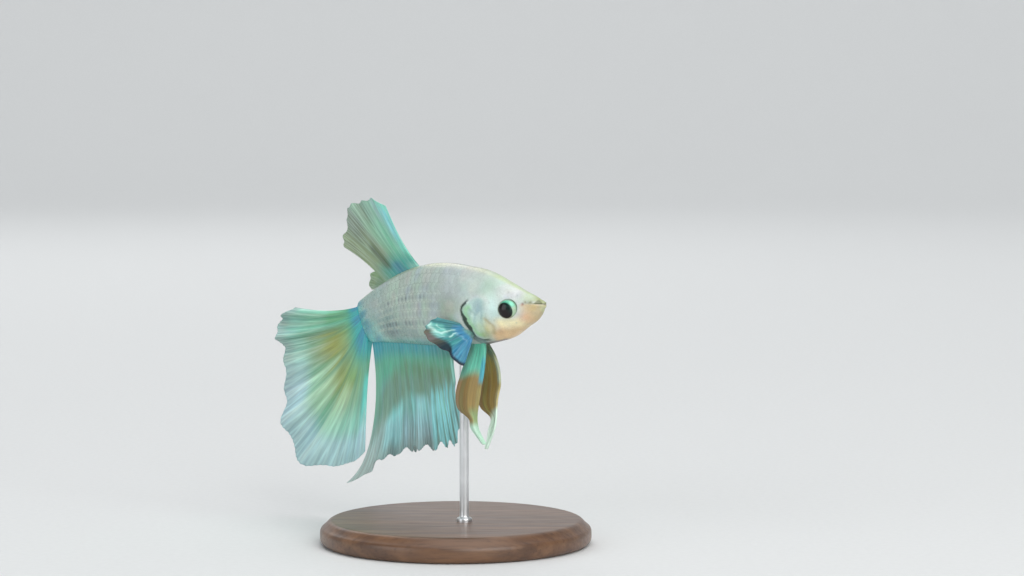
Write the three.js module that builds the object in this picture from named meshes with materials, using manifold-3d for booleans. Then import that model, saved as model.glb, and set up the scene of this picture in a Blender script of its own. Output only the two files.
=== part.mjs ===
// A betta (Siamese fighting fish, Betta splendens), a young male with half-grown finnage, life size,
// as a still model on a plain display stand.  Millimetres, +Z up.  The origin is the middle of the
// underside of the stand's base.
//
// The fish is drawn straight first, in "fish space": s runs back from the tip of the snout, a runs up
// and b runs out to the fish's right side.  pose() then bends it along its spine, so that the head
// looks to the front, the trunk turns away and the tail swings round behind.
import * as THREE from "three";
import { mergeVertices } from "three/addons/utils/BufferGeometryUtils.js";
import Module from "manifold-3d";

const wasm = await Module();
wasm.setup();

// ---------------------------------------------------------------- sizes
const STANDARD_LENGTH = 48; // snout to the root of the tail fin
const ROUND = 22; // facets round the body
const SNOUT = [14.4, -12.2, 40.0]; // where the tip of the snout is, from the stand's middle
const HEAD_YAW = 27; // degrees the head is turned to the front
const TRUNK_YAW = 56; // degrees the trunk is turned
const TAIL_YAW = 20; // degrees the tail fin has swung back to
const HEAD_PITCH = 4; // degrees the head points up
const TRUNK_PITCH = 13; // degrees the trunk hangs down behind
const FIN_THICK = 0.55; // a fin's thickness at its margin
const FIN_ROOT = 0.5; // how much thicker a fin is at its root
const GAP = 0.06; // between neighbouring pieces
const EYE_RADIUS = 1.62;
const EYE_FLAT = 0.62; // the eye's depth as a part of its width
const EYE_AT = [5.6, -0.78]; // its place behind the snout and below the axis
const EYE_SINK = 0.5; // how far its centre lies inside the flank
const EYE_FORWARD = 12; // degrees it looks forward
const BASE_RADIUS = 22;
const BASE_THICK = 4;
const ROD_RADIUS = 0.75;
const ROD_AT = 0.34; // where along the body the rod meets the belly

// ---------------------------------------------------------------- small mathematics
const rad = (d) => (d * Math.PI) / 180;
const clamp = (x, lo = 0, hi = 1) => Math.min(hi, Math.max(lo, x));
const smooth = (x) => clamp(x) ** 2 * (3 - 2 * clamp(x));
const mix = (p, q, w) => p + (q - p) * w;

// A smooth curve through knots [[x, y], ...]: cubic, with each knot's slope from its neighbours.
function curve(knots) {
  const n = knots.length;
  const slope = (i) => (knots[i + 1][1] - knots[i][1]) / (knots[i + 1][0] - knots[i][0]);
  const m = knots.map((_, i) =>
    i === 0 ? slope(0) : i === n - 1 ? slope(n - 2) : (slope(i - 1) + slope(i)) / 2,
  );
  return (x) => {
    x = clamp(x, knots[0][0], knots[n - 1][0]);
    let i = 0;
    while (i < n - 2 && x >= knots[i + 1][0]) i++;
    const h = knots[i + 1][0] - knots[i][0];
    const q = (x - knots[i][0]) / h;
    return (
      (2 * q ** 3 - 3 * q ** 2 + 1) * knots[i][1] +
      (q ** 3 - 2 * q ** 2 + q) * h * m[i] +
      (-2 * q ** 3 + 3 * q ** 2) * knots[i + 1][1] +
      (q ** 3 - q ** 2) * h * m[i + 1]
    );
  };
}

// ---------------------------------------------------------------- the bent spine
const yaw = (t) =>
  rad(
    HEAD_YAW +
      (TRUNK_YAW - HEAD_YAW) * smooth((t - 0.02) / 0.48) +
      (TAIL_YAW - TRUNK_YAW) * smooth((t - 0.93) / 0.45),
  );
const pitch = (t) => rad(HEAD_PITCH + (TRUNK_PITCH - HEAD_PITCH) * smooth((t - 0.25) / 0.7));
const ahead = (t) => [
  Math.cos(pitch(t)) * Math.cos(yaw(t)),
  -Math.cos(pitch(t)) * Math.sin(yaw(t)),
  Math.sin(pitch(t)),
];
const STEP = 0.002;
const SPINE_FROM = -0.5;
const spine = [[0, 0, 0]]; // the spine's points, one each STEP of the standard length
for (let i = 1; i <= 1500; i++) {
  const f = ahead(SPINE_FROM + (i - 0.5) * STEP);
  spine.push(spine[i - 1].map((c, k) => c - f[k] * STEP * STANDARD_LENGTH));
}
const spineAt = (t) => {
  const x = clamp((t - SPINE_FROM) / STEP, 0, spine.length - 1.001);
  const i = Math.floor(x);
  return spine[i].map((c, k) => mix(c, spine[i + 1][k], x - i));
};
const spineZero = spineAt(0);

// From fish space to the model's frame.
function pose(s, a, b) {
  const t = s / STANDARD_LENGTH;
  const c = spineAt(t);
  const y = yaw(t);
  const p = pitch(t);
  const up = [-Math.sin(p) * Math.cos(y), Math.sin(p) * Math.sin(y), Math.cos(p)];
  const side = [-Math.sin(y), -Math.cos(y), 0];
  return [0, 1, 2].map((k) => SNOUT[k] + c[k] - spineZero[k] + up[k] * a + side[k] * b);
}

// ---------------------------------------------------------------- the body's shape
// Heights above and below the axis and the half width, as parts of the standard length.
const TOP = curve([[0, 0.008], [0.06, 0.0365], [0.12, 0.071], [0.2, 0.111], [0.3, 0.1345], [0.42, 0.148],
  [0.56, 0.148], [0.68, 0.137], [0.8, 0.115], [0.9, 0.094], [1, 0.07]]);
const BOTTOM = curve([[0, 0.042], [0.06, 0.0735], [0.12, 0.109], [0.18, 0.1235], [0.24, 0.132], [0.3, 0.133],
  [0.42, 0.136], [0.56, 0.128], [0.68, 0.114], [0.8, 0.1], [0.9, 0.088], [1, 0.08]]);
const HALF = curve([[0, 0.022], [0.06, 0.04], [0.12, 0.056], [0.2, 0.07], [0.28, 0.076], [0.42, 0.07],
  [0.56, 0.06], [0.7, 0.047], [0.85, 0.032], [0.93, 0.022], [1, 0.011]]);
const NOSE_ROUND = 0.045; // how far back the snout's rounding runs
const END_ROUND = 0.055; // how far the rounded end under the tail fin's root runs
const TAIL_SLANT = 0.45; // the upper half of the tail stem reaches farther back than the lower half

const bodySection = (t) => {
  const nose = Math.sqrt(clamp(1 - (1 - clamp(t / NOSE_ROUND)) ** 2));
  const end = Math.sqrt(clamp(1 - (1 - clamp((1 - t) / END_ROUND)) ** 2)) ** 0.8;
  const k = nose * end * STANDARD_LENGTH;
  return { top: TOP(t) * k, bottom: BOTTOM(t) * k, half: HALF(t) * k };
};
const slant = (t, a) => TAIL_SLANT * smooth((t - 0.6) / 0.4) * a;

// The skin at t along the body and at the angle phi round it: 0 is the back, half a turn the belly.
function bodyPoint(t, phi, grow = 0) {
  const { top, bottom, half } = bodySection(t);
  const c = Math.cos(phi);
  const n = Math.sin(phi);
  const a = (top - bottom) / 2 + ((top + bottom) / 2 + grow) * c;
  const b = (half + grow) * Math.sign(n) * Math.abs(n) ** 0.9 * (1 - 0.1 * c);
  return [t * STANDARD_LENGTH + slant(t, a), a, b];
}

// How far out the flank is at the height a.
function flank(t, a) {
  const { top, bottom, half } = bodySection(t);
  const c = clamp((a - (top - bottom) / 2) / ((top + bottom) / 2), -0.98, 0.98);
  return half * Math.sqrt(1 - c * c) ** 0.9 * (1 - 0.1 * c);
}

// ---------------------------------------------------------------- closed solids from grids of points
class Solid {
  constructor() {
    this.points = [];
    this.faces = [];
  }
  add(p) {
    this.points.push(p);
    return this.points.length - 1;
  }
  quad(i, j, k, l) {
    this.faces.push([i, j, k], [i, k, l]);
  }
  // Joins two rows of the same length; a closed row joins its last point to its first.
  strip(row, next, closed) {
    const n = closed ? row.length : row.length - 1;
    for (let i = 0; i < n; i++) {
      const j = (i + 1) % row.length;
      this.quad(row[i], row[j], next[j], next[i]);
    }
  }
  fan(centre, row) {
    row.forEach((p, i) => this.faces.push([centre, p, row[(i + 1) % row.length]]));
  }
  geometry() {
    const g = new THREE.BufferGeometry();
    g.setAttribute("position", new THREE.Float32BufferAttribute(this.points.flat(), 3));
    g.setIndex(this.faces.flat());
    return outward(g);
  }
}

// Turns every face round when the solid is inside out.
function outward(g) {
  const m = g.index.array;
  const p = g.attributes.position;
  const v = [0, 1, 2].map(() => new THREE.Vector3());
  let volume = 0;
  for (let i = 0; i < m.length; i += 3) {
    v.forEach((w, k) => w.fromBufferAttribute(p, m[i + k]));
    volume += v[0].dot(v[1].clone().cross(v[2]));
  }
  if (volume < 0) for (let i = 0; i < m.length; i += 3) [m[i], m[i + 1]] = [m[i + 1], m[i]];
  return g;
}

// Boolean cuts.
function toManifold(g) {
  const bare = new THREE.BufferGeometry().setAttribute("position", g.getAttribute("position"));
  if (g.index) bare.setIndex(g.index);
  const merged = mergeVertices(bare, 1e-4);
  return new wasm.Manifold(
    new wasm.Mesh({
      numProp: 3,
      vertProperties: new Float32Array(merged.attributes.position.array),
      triVerts: new Uint32Array(merged.index.array),
    }),
  );
}
function fromManifold(m) {
  const mesh = m.getMesh();
  const g = new THREE.BufferGeometry();
  g.setAttribute("position", new THREE.BufferAttribute(new Float32Array(mesh.vertProperties), 3));
  g.setIndex(new THREE.BufferAttribute(new Uint32Array(mesh.triVerts), 1));
  return g;
}
const cut = (g, ...tools) =>
  fromManifold(tools.reduce((m, tool) => m.subtract(toManifold(tool)), toManifold(g)));
const join = (g, tool) => fromManifold(toManifold(g).add(toManifold(tool)));
const common = (g, tool) => fromManifold(toManifold(g).intersect(toManifold(tool)));

// ---------------------------------------------------------------- pieces of the body
// A length of the body through the cross-sections at the given stations, closed by flat ends or by the
// rounded snout and tail.
function bodyPiece(stations, grow = 0) {
  const solid = new Solid();
  const rows = stations
    .filter((t) => t > 0 && t < 1)
    .map((t) =>
      Array.from({ length: ROUND }, (_, j) => solid.add(pose(...bodyPoint(t, (2 * Math.PI * j) / ROUND, grow)))),
    );
  rows.forEach((row, i) => i && solid.strip(rows[i - 1], row, true));
  const centre = (t) => solid.add(pose(t * STANDARD_LENGTH + (t === 1 ? grow : t === 0 ? -grow : 0), 0, 0));
  solid.fan(centre(stations[0]), rows[0].toReversed());
  solid.fan(centre(stations.at(-1)), rows.at(-1));
  return solid.geometry();
}

// A prism through the fish from side to side, over a convex outline in the median plane.
function prism(outline, reach) {
  const solid = new Solid();
  const [left, right] = [-reach, reach].map((b) => outline.map(([s, a]) => solid.add(pose(s, a, b))));
  solid.strip(left, right, true);
  for (let i = 2; i < outline.length; i++)
    solid.faces.push([left[i], left[i - 1], left[0]], [right[0], right[i - 1], right[i]]);
  return solid.geometry();
}

// ---------------------------------------------------------------- fins
// A fin is a sheet of rays: ray(u, v) gives the fish-space point of the ray u at v from root to tip.
// The sheet is thickened to both sides and closed round its rim.
function sheet(ray, across, along, thick = FIN_THICK, root = FIN_ROOT) {
  const at = (u, v) => new THREE.Vector3(...pose(...ray(u, v)));
  const solid = new Solid();
  const faces = [-1, 1].map((side) =>
    Array.from({ length: along + 1 }, (_, j) =>
      Array.from({ length: across + 1 }, (_, i) => {
        const u = i / across;
        const v = j / along;
        const e = 0.01;
        const du = at(Math.min(1, u + e), v).sub(at(Math.max(0, u - e), v));
        const dv = at(u, Math.min(1, v + e)).sub(at(u, Math.max(0, v - e)));
        const half = (thick + root * (1 - v) ** 3) / 2;
        return solid.add(at(u, v).addScaledVector(du.cross(dv).normalize(), side * half).toArray());
      }),
    ),
  );
  faces.forEach((rows, k) =>
    rows.forEach((row, j) => {
      if (j) k ? solid.strip(rows[j - 1], row, false) : solid.strip(row, rows[j - 1], false);
    }),
  );
  const edge = (rows) => [
    ...rows[0],
    ...rows.slice(1, -1).map((r) => r.at(-1)),
    ...rows.at(-1).toReversed(),
    ...rows.slice(1, -1).map((r) => r[0]).toReversed(),
  ];
  solid.strip(edge(faces[0]), edge(faces[1]), true);
  return solid.geometry();
}

const bend = (angle, length, v) => [length * v * Math.cos(rad(angle)), length * v * Math.sin(rad(angle))];

// Tail fin: rays spread from the end of the tail stem, from level at the top to steeply down.
const CAUDAL_ANGLE = curve([[0, 10.8], [0.1, 6.3], [0.2, 0], [0.3, -3.8], [0.4, -9.9], [0.5, -21.3], [0.6, -30.4],
  [0.7, -38], [0.8, -46.9], [0.88, -55.2], [0.94, -63.1], [1, -70.8]]);
const CAUDAL_LENGTH = curve([[0, 15], [0.1, 18.3], [0.2, 19.8], [0.3, 19.8], [0.4, 19.7], [0.5, 22.9], [0.6, 26.3],
  [0.7, 28.4], [0.8, 28.2], [0.88, 24.9], [0.94, 22.8], [1, 19.2]]);
const CAUDAL_FOLDS = 5.5;
function caudalRay(u, v) {
  const [ds, da] = bend(CAUDAL_ANGLE(u) - 12 * (1 - u) * (1 - v), CAUDAL_LENGTH(u), v);
  return [47.6 - 2.1 * u + ds, 3 - 6.1 * u + da, 0.9 * v ** 1.5 * Math.sin(2 * Math.PI * CAUDAL_FOLDS * u)];
}

// Anal fin: a long base under the trunk, its front rays bent to the far side, its last rays trailing.
const ANAL_LEAN = curve([[0, 1.5], [0.05, 1], [0.15, 6.5], [0.3, 7.6], [0.5, 10.3], [0.7, 12.3], [0.83, 17],
  [0.93, 25.5], [1, 33.3]]);
const ANAL_LENGTH = curve([[0, 14.8], [0.05, 16.5], [0.15, 17.5], [0.3, 18.1], [0.5, 18.6], [0.7, 19.2], [0.83, 20.4],
  [0.93, 23.4], [1, 26.8]]);
const ANAL_FOLDS = 5;
const ANAL_FROM = 0.425; // where along the body its base begins and ends
const ANAL_TO = 0.955;
function analRay(u, v) {
  const t = mix(ANAL_FROM, ANAL_TO, u);
  const root = bodySection(t).bottom * 0.9;
  const curl = mix(0.085, 1, v) * v ** 0.33; // the rays hang straight down first, then lean back
  const [ds, da] = bend(-90 + ANAL_LEAN(u) * curl, ANAL_LENGTH(u), v);
  const wave = 0.75 * v ** 1.5 * Math.sin(2 * Math.PI * ANAL_FOLDS * u);
  return [t * STANDARD_LENGTH + slant(t, -root) + ds, -root + da, wave - 2.4 * v ** 2 * (1 - u) ** 1.5];
}

// Back fin: a narrow upright fan over the rear of the trunk, with a low lobe close behind it.
const DORSAL = {
  from: 27.6,
  to: 37,
  angle: curve([[0, 61.5], [0.08, 60.5], [0.3, 53], [0.5, 48.5], [0.65, 45], [0.8, 40.5], [1, 39.5]]),
  length: curve([[0, 12.9], [0.08, 14.7], [0.3, 17.2], [0.5, 18.2], [0.65, 17.1], [0.8, 15.3], [1, 12.7]]),
  bow: (u) => 18 - 26 * u,
  lean: curve([[0, 1.7], [1, 1.2]]),
  folds: 2.5,
};
const DORSAL_LOBE = {
  from: 36.2,
  to: 38.8,
  angle: curve([[0, 31], [1, 4.5]]),
  length: curve([[0, 5.6], [0.3, 6.3], [1, 5.3]]),
  bow: () => 0,
  lean: curve([[0, -0.8], [1, -1.3]]),
  folds: 0.5,
};
const backRay = (fin) => (u, v) => {
  const s = mix(fin.from, fin.to, u);
  const root = bodySection(s / STANDARD_LENGTH).top * 0.92;
  const [ds, da] = bend(fin.angle(u) - fin.bow(u) * (1 - v) ** 1.2, fin.length(u), v);
  const wave = 0.35 * v ** 1.5 * Math.sin(2 * Math.PI * fin.folds * u);
  return [s + slant(s / STANDARD_LENGTH, root) + ds, root + da, fin.lean(u) * v ** 1.2 + wave];
};

// Breast fins behind the gill covers: the right one an open fan held out from the flank, the left one
// half folded and laid back along the body.
const PECTORAL_ANGLE = curve([[0, 19], [0.2, 10], [0.45, -4], [0.65, -27], [0.85, -58], [1, -83]]);
const PECTORAL_LENGTH = curve([[0, 4.6], [0.2, 5.9], [0.45, 6.7], [0.65, 5], [0.77, 4.2], [0.9, 4.7], [1, 4.9]]);
const RIGHT_PECTORAL = { side: 1, open: 1, lift: 0, out: (u) => 22 + 14 * u };
const LEFT_PECTORAL = { side: -1, open: 0.5, lift: 10, out: (u) => 14 - 4 * u };
const pectoralRay = (fin) => (u, v) => {
  const [ds, da] = bend(PECTORAL_ANGLE(u) * fin.open + fin.lift, PECTORAL_LENGTH(u), v);
  const out = rad(fin.out(u));
  const rootOut = flank(0.256, -4) - 0.5;
  return [
    12.5 - 0.9 * u + ds * Math.cos(out),
    -3.1 - 1.5 * u + da,
    fin.side * (rootOut + (ds + 0.35 * Math.abs(da)) * Math.sin(out) + 0.9 * v),
  ];
};

// Belly fins: a stout leading ray with a web behind it that ends short of the ray's pale tip.
const RIGHT_BELLY = {
  lead: curve([[0, 11], [0.06, 10.8], [0.27, 10.9], [0.5, 11.7], [0.75, 12.6], [0.87, 12.3], [1, 11.3]]),
  web: curve([[0, 2.6], [0.08, 3.3], [0.27, 4.6], [0.55, 5.3], [0.66, 4.3], [0.75, 1.8], [0.83, 1.7], [0.91, 1], [1, 0.4]]),
  out: curve([[0, 0.9], [0.3, 1.6], [1, 1.6]]),
  drop: 16.1,
};
const LEFT_BELLY = {
  lead: curve([[0, 12], [0.14, 10.8], [0.39, 10.5], [0.53, 11.3], [0.81, 12.3], [1, 14.4]]),
  web: curve([[0, 2.4], [0.08, 3.2], [0.27, 4.4], [0.5, 4.8], [0.62, 3.8], [0.7, 1.5], [0.83, 1.4], [0.91, 0.9], [1, 0.4]]),
  out: curve([[0, -0.9], [0.3, -1.8], [1, -1.9]]),
  drop: 17.2,
};
const bellyRay = (fin) => (u, v) => [
  fin.lead(v) + fin.web(v) * u,
  -6 - fin.drop * v,
  fin.out(v) + 0.5 * Math.sin(Math.PI * u) * Math.sign(fin.out(1)) * v,
];

// ---------------------------------------------------------------- head pieces
// Gill cover: a rounded plate over the cheek and gill, its hind edge standing proud of the shoulder.
const GILL_CENTRE = [10.1, -1.7];
const GILL_RADIUS = curve([[0, 2.9], [27, 3.5], [49, 3.2], [90, 3.3], [135, 2.9], [180, 2.7], [225, 3.2], [248, 3.9],
  [274, 3.1], [307, 2.65], [350, 2.78], [360, 2.9]]);
function gillCover(side, grow = 0) {
  const solid = new Solid();
  const round = 20;
  const at = (deg, w, depth) => {
    const r = (GILL_RADIUS(deg) + grow) * w;
    const s = GILL_CENTRE[0] + r * Math.cos(rad(deg));
    const a = GILL_CENTRE[1] + r * Math.sin(rad(deg));
    return solid.add(pose(s, a, side * (flank(s / STANDARD_LENGTH, a) + depth)));
  };
  const ring = (w, depth) => Array.from({ length: round }, (_, i) => at((360 * i) / round, w, depth));
  const proud = grow ? 1 : 0.16;
  const rows = [ring(0.5, proud + 0.04), ring(0.85, proud), ring(1, proud - 0.08), ring(1, -0.75 - grow), ring(0.5, -0.75 - grow)];
  rows.forEach((row, i) => i && solid.strip(rows[i - 1], row, true));
  solid.fan(at(0, 0, proud + 0.06), rows[0].toReversed());
  solid.fan(at(0, 0, -0.75 - grow), rows.at(-1));
  return solid.geometry();
}

// Lower jaw: everything below the mouth's line and ahead of a slanting line under the eye.
const jawOutline = (gap) => [[-2, 0.05 - gap], [2.6 - gap, 0.05 - gap], [7.4 - gap, -7], [-2, -7]];

// Eye: a ball flattened from side to side, standing out of the head and turned a little forward.
function eyeball(side, grow = 0) {
  const [s, a] = EYE_AT;
  const out = side * (flank(s / STANDARD_LENGTH, a) - EYE_SINK);
  const centre = new THREE.Vector3(...pose(s, a, out));
  const toward = (ds, da, db) => new THREE.Vector3(...pose(s + ds, a + da, out + db)).sub(centre).normalize();
  const axis = toward(-0.1 * Math.sin(rad(EYE_FORWARD)), 0, 0.1 * side * Math.cos(rad(EYE_FORWARD)));
  const up = toward(0, 0.1, 0);
  const along = new THREE.Vector3().crossVectors(axis, up);
  const g = new THREE.SphereGeometry(EYE_RADIUS + grow, 16, 10).scale(1, EYE_FLAT, 1);
  g.applyMatrix4(new THREE.Matrix4().makeBasis(along, axis, up).setPosition(centre));
  return outward(g);
}

// ---------------------------------------------------------------- the solids
const stations = (from, to, n, power = 1) =>
  Array.from({ length: n + 1 }, (_, i) => mix(from, to, (i / n) ** power));
const HEAD = stations(0, 0.285, 13, 1.6);
const FRONT = stations(0.285, 0.52, 7);
const REAR = stations(0.52, 0.78, 7);
const STEM = stations(1, 0.78, 9, 1.6).toReversed();
const [wholeHead, trunkFront, trunkRear, tailStem] = [HEAD, FRONT, REAR, STEM].map((t) => bodyPiece(t));
const wholeBody = bodyPiece([...new Set([...HEAD, ...FRONT, ...REAR, ...STEM])], GAP);

const eyes = [eyeball(1), eyeball(-1)];
const sockets = [eyeball(1, GAP), eyeball(-1, GAP)];
const gillSlots = [gillCover(1, GAP), gillCover(-1, GAP)];
const head = cut(wholeHead, prism(jawOutline(0), 6), ...sockets, ...gillSlots);
const lowerJaw = cut(common(wholeHead, prism(jawOutline(GAP), 6)), ...sockets, ...gillSlots);

const fins = {
  fin_caudal: cut(sheet(caudalRay, 40, 7), wholeBody),
  fin_anal: cut(sheet(analRay, 38, 6), wholeBody),
  fin_dorsal: cut(join(sheet(backRay(DORSAL), 18, 6), sheet(backRay(DORSAL_LOBE), 4, 4)), wholeBody),
  fin_pectoral_right: cut(sheet(pectoralRay(RIGHT_PECTORAL), 14, 5, 0.5, 0.2), wholeBody),
  fin_pectoral_left: cut(sheet(pectoralRay(LEFT_PECTORAL), 14, 5, 0.5, 0.2), wholeBody),
  fin_pelvic_right: cut(sheet(bellyRay(RIGHT_BELLY), 3, 16, 0.5), wholeBody),
  fin_pelvic_left: cut(sheet(bellyRay(LEFT_BELLY), 3, 16, 0.5), wholeBody),
};

// ---------------------------------------------------------------- the stand
const standBase = new THREE.LatheGeometry(
  [[0, 0], [BASE_RADIUS - 0.6, 0], [BASE_RADIUS, 0.6], [BASE_RADIUS, BASE_THICK - 1.2], [BASE_RADIUS - 0.35, BASE_THICK - 0.35],
    [BASE_RADIUS - 1.2, BASE_THICK], [0, BASE_THICK]].map(([x, y]) => new THREE.Vector2(x, y)),
  48,
).rotateX(Math.PI / 2);
const rodTop = pose(ROD_AT * STANDARD_LENGTH, -5, 0);
const rod = new THREE.CylinderGeometry(ROD_RADIUS, ROD_RADIUS, rodTop[2] - BASE_THICK - GAP, 20)
  .rotateX(Math.PI / 2)
  .translate(rodTop[0], rodTop[1], (rodTop[2] + BASE_THICK + GAP) / 2);

// ---------------------------------------------------------------- the model
const material = (color, roughness, metalness = 0) =>
  new THREE.MeshStandardMaterial({ color, roughness, metalness });
const skin = material("#b9c0c4", 0.35);
const face = material("#d9c3ac", 0.4);
const finBlue = material("#7fb3bb", 0.45);
const finBrown = material("#a06a35", 0.5);
const pieces = {
  head: [head, face],
  lower_jaw: [lowerJaw, face],
  gill_cover_right: [gillCover(1), skin],
  gill_cover_left: [gillCover(-1), skin],
  eye_right: [eyes[0], material("#0b0d10", 0.08)],
  eye_left: [eyes[1], material("#0b0d10", 0.08)],
  trunk_front: [trunkFront, skin],
  trunk_rear: [trunkRear, skin],
  tail_stem: [tailStem, skin],
  fin_caudal: [fins.fin_caudal, finBlue],
  fin_anal: [fins.fin_anal, finBlue],
  fin_dorsal: [fins.fin_dorsal, finBlue],
  fin_pectoral_right: [fins.fin_pectoral_right, finBlue],
  fin_pectoral_left: [fins.fin_pectoral_left, finBlue],
  fin_pelvic_right: [fins.fin_pelvic_right, finBrown],
  fin_pelvic_left: [fins.fin_pelvic_left, finBrown],
  stand_base: [standBase, material("#3a2417", 0.4)],
  stand_rod: [cut(rod, wholeBody), material("#b8bcc0", 0.25, 1)],
};

const betta = new THREE.Group();
betta.name = "betta_fish";
for (const [name, [geometry, look]] of Object.entries(pieces)) {
  const mesh = new THREE.Mesh(geometry, look);
  mesh.name = name;
  betta.add(mesh);
}
export default betta;
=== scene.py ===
# %% [markdown]
# # A betta, life size, on a display stand
# The fish is a young male betta (Siamese fighting fish) of the pale "pastel" kind: a silver body, a
# white head with a peach jaw, and turquoise fins with a warm ochre middle.  The solid model fixes every
# size and place.  This script dresses it: one skin, a coat of scales, two eyes, seven fins with their
# rays, a turned base and a steel pin.  Nearly every piece is a surface worked out with numpy, because a
# living shape is easier to describe by a few curves than by pushing points about by hand.

import math

import bpy
import numpy as np
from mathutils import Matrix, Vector


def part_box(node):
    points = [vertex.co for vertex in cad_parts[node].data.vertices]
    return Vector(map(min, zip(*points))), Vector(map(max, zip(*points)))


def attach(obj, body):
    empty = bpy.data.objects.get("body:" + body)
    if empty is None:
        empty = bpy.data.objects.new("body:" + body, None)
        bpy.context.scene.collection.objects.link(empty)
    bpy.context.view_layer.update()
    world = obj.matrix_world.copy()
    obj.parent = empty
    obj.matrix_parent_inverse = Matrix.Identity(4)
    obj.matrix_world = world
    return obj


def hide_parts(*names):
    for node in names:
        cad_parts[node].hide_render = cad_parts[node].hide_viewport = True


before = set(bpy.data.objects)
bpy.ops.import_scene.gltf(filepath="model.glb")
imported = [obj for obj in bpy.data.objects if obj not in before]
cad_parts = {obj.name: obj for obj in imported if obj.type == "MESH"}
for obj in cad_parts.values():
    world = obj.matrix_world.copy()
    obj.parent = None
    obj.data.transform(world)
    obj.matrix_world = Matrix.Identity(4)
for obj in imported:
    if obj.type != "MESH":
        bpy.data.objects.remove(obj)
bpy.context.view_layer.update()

# %% [markdown]
# ## Small mathematics
# Six helpers serve the whole lesson.  `smooth` is a soft step, `hill` a bell, `window` a soft gate and
# `mix` a blend of two values; `curve` runs a soft line through a few knots, and `grain` is a repeatable
# noise made by blending random numbers on a lattice.  All of them take whole arrays, so a surface with a
# hundred thousand points costs one call.

# %% Soft steps, curves and a repeatable grain
MM = 0.001
TAU = 2 * np.pi


def smooth(x):
    """A soft step: 0 below 0, 1 above 1, x squared times (3 - 2x) between."""
    x = np.clip(x, 0, 1)
    return x * x * (3 - 2 * x)


def hill(x, width):
    """A bell: 1 at x = 0, falling as exp of minus x over width, squared."""
    return np.exp(-((x / width) ** 2))


def window(x, low, high, soft):
    """1 between low and high, falling to 0 over the length soft outside them."""
    return smooth((x - low) / soft + 1) * smooth((high - x) / soft + 1)


def mix(p, q, w):
    """p where w is 0, q where w is 1."""
    return p + (q - p) * w


def curve(*knots):
    """A cubic line through (x, y) knots; the slope at a knot is the mean of its two neighbours' slopes."""
    x0, y0 = np.array(knots, float).T
    step = np.diff(y0) / np.diff(x0)
    slope = np.concatenate([step[:1], (step[:-1] + step[1:]) / 2, step[-1:]])

    def line(x):
        """The height at x: the two knots beside it and their slopes, joined by a cubic."""
        x = np.clip(x, x0[0], x0[-1])
        i = np.clip(np.searchsorted(x0, x, side="right") - 1, 0, len(x0) - 2)
        h = x0[i + 1] - x0[i]
        q = (x - x0[i]) / h
        ends = (2 * q**3 - 3 * q**2 + 1) * y0[i] + (3 * q**2 - 2 * q**3) * y0[i + 1]
        return ends + (q**3 - 2 * q**2 + q) * h * slope[i] + (q**3 - q**2) * h * slope[i + 1]

    return line


def grain(x, y, seed=0.0):
    """Noise from 0 to 1: random numbers on the whole-number lattice, blended softly between."""
    x, y = np.broadcast_arrays(np.asarray(x, float), np.asarray(y, float))
    i, j = np.floor(x), np.floor(y)

    def toss(p, q):
        """A number from 0 to 1 for one lattice point: the digits left over from a large sine."""
        h = np.sin(p * 127.1 + q * 311.7 + seed * 74.7) * 43758.5453
        return h - np.floor(h)

    u, v = smooth(x - i), smooth(y - j)
    low = mix(toss(i, j), toss(i + 1, j), u)
    return mix(low, mix(toss(i, j + 1), toss(i + 1, j + 1), u), v)


print("grain averages", round(float(grain(np.arange(0, 90, 0.37), 0.5).mean()), 2))

# %% [markdown]
# ## The bent spine
# A swimming fish is never straight.  The body is drawn straight first, in "fish space": s runs back from
# the tip of the snout, a runs up and b runs out to the fish's right, all in millimetres.  `pose` then
# carries each point along a spine that turns and sinks: the head looks to the front, the trunk turns
# away, and the tail swings round behind.  An armature could bend a finished mesh, but then every scale
# would need weights.  The solid model was bent by the same rule as here, so the skin, the scales and the
# fins fall in place by themselves.

# %% Bend fish space along the spine
LENGTH = 48.0  # snout to the root of the tail fin
SNOUT = np.array([14.4, -12.2, 40.0])


def yaw(t):
    """The turn from the side view, in radians: 27 degrees at the head, 56 in the trunk, 20 at the tail."""
    return np.radians(27 + 29 * smooth((t - 0.02) / 0.48) - 36 * smooth((t - 0.93) / 0.45))


def pitch(t):
    """How far the body points up: 4 degrees at the head, 13 behind."""
    return np.radians(4 + 9 * smooth((t - 0.25) / 0.7))


def ahead(t):
    """The unit direction towards the snout."""
    flat = np.cos(pitch(t))
    return np.stack([flat * np.cos(yaw(t)), -flat * np.sin(yaw(t)), np.sin(pitch(t))], -1)


SPINE_STEP = 0.002  # in body lengths
SPINE_FROM = -0.5
SPINE_STEPS = 1500
middles = SPINE_FROM + (np.arange(SPINE_STEPS) + 0.5) * SPINE_STEP
spine = np.concatenate([np.zeros((1, 3)), -np.cumsum(ahead(middles), 0) * SPINE_STEP * LENGTH])


def spine_at(t):
    """The spine's point at t body lengths behind the snout, by straight lines between its points."""
    x = np.clip((np.asarray(t, float) - SPINE_FROM) / SPINE_STEP, 0, SPINE_STEPS - 0.001)
    i = np.floor(x).astype(int)
    return mix(spine[i], spine[i + 1], (x - i)[..., None])


def pose(s, a, b):
    """From fish space (s, a, b) in millimetres to the model's frame in metres: the spine's point, plus a
    along its own up direction, plus b along its own right-hand direction."""
    s, a, b = np.broadcast_arrays(np.asarray(s, float), a, b)
    t = s / LENGTH
    y, p = yaw(t), pitch(t)
    up = np.stack([-np.sin(p) * np.cos(y), np.sin(p) * np.sin(y), np.cos(p)], -1)
    side = np.stack([-np.sin(y), -np.cos(y), 0 * y], -1)
    return (SNOUT + spine_at(t) - spine_at(0) + up * a[..., None] + side * b[..., None]) * MM


print("tail root at", np.round(pose(LENGTH, 0, 0), 4).tolist())

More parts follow.
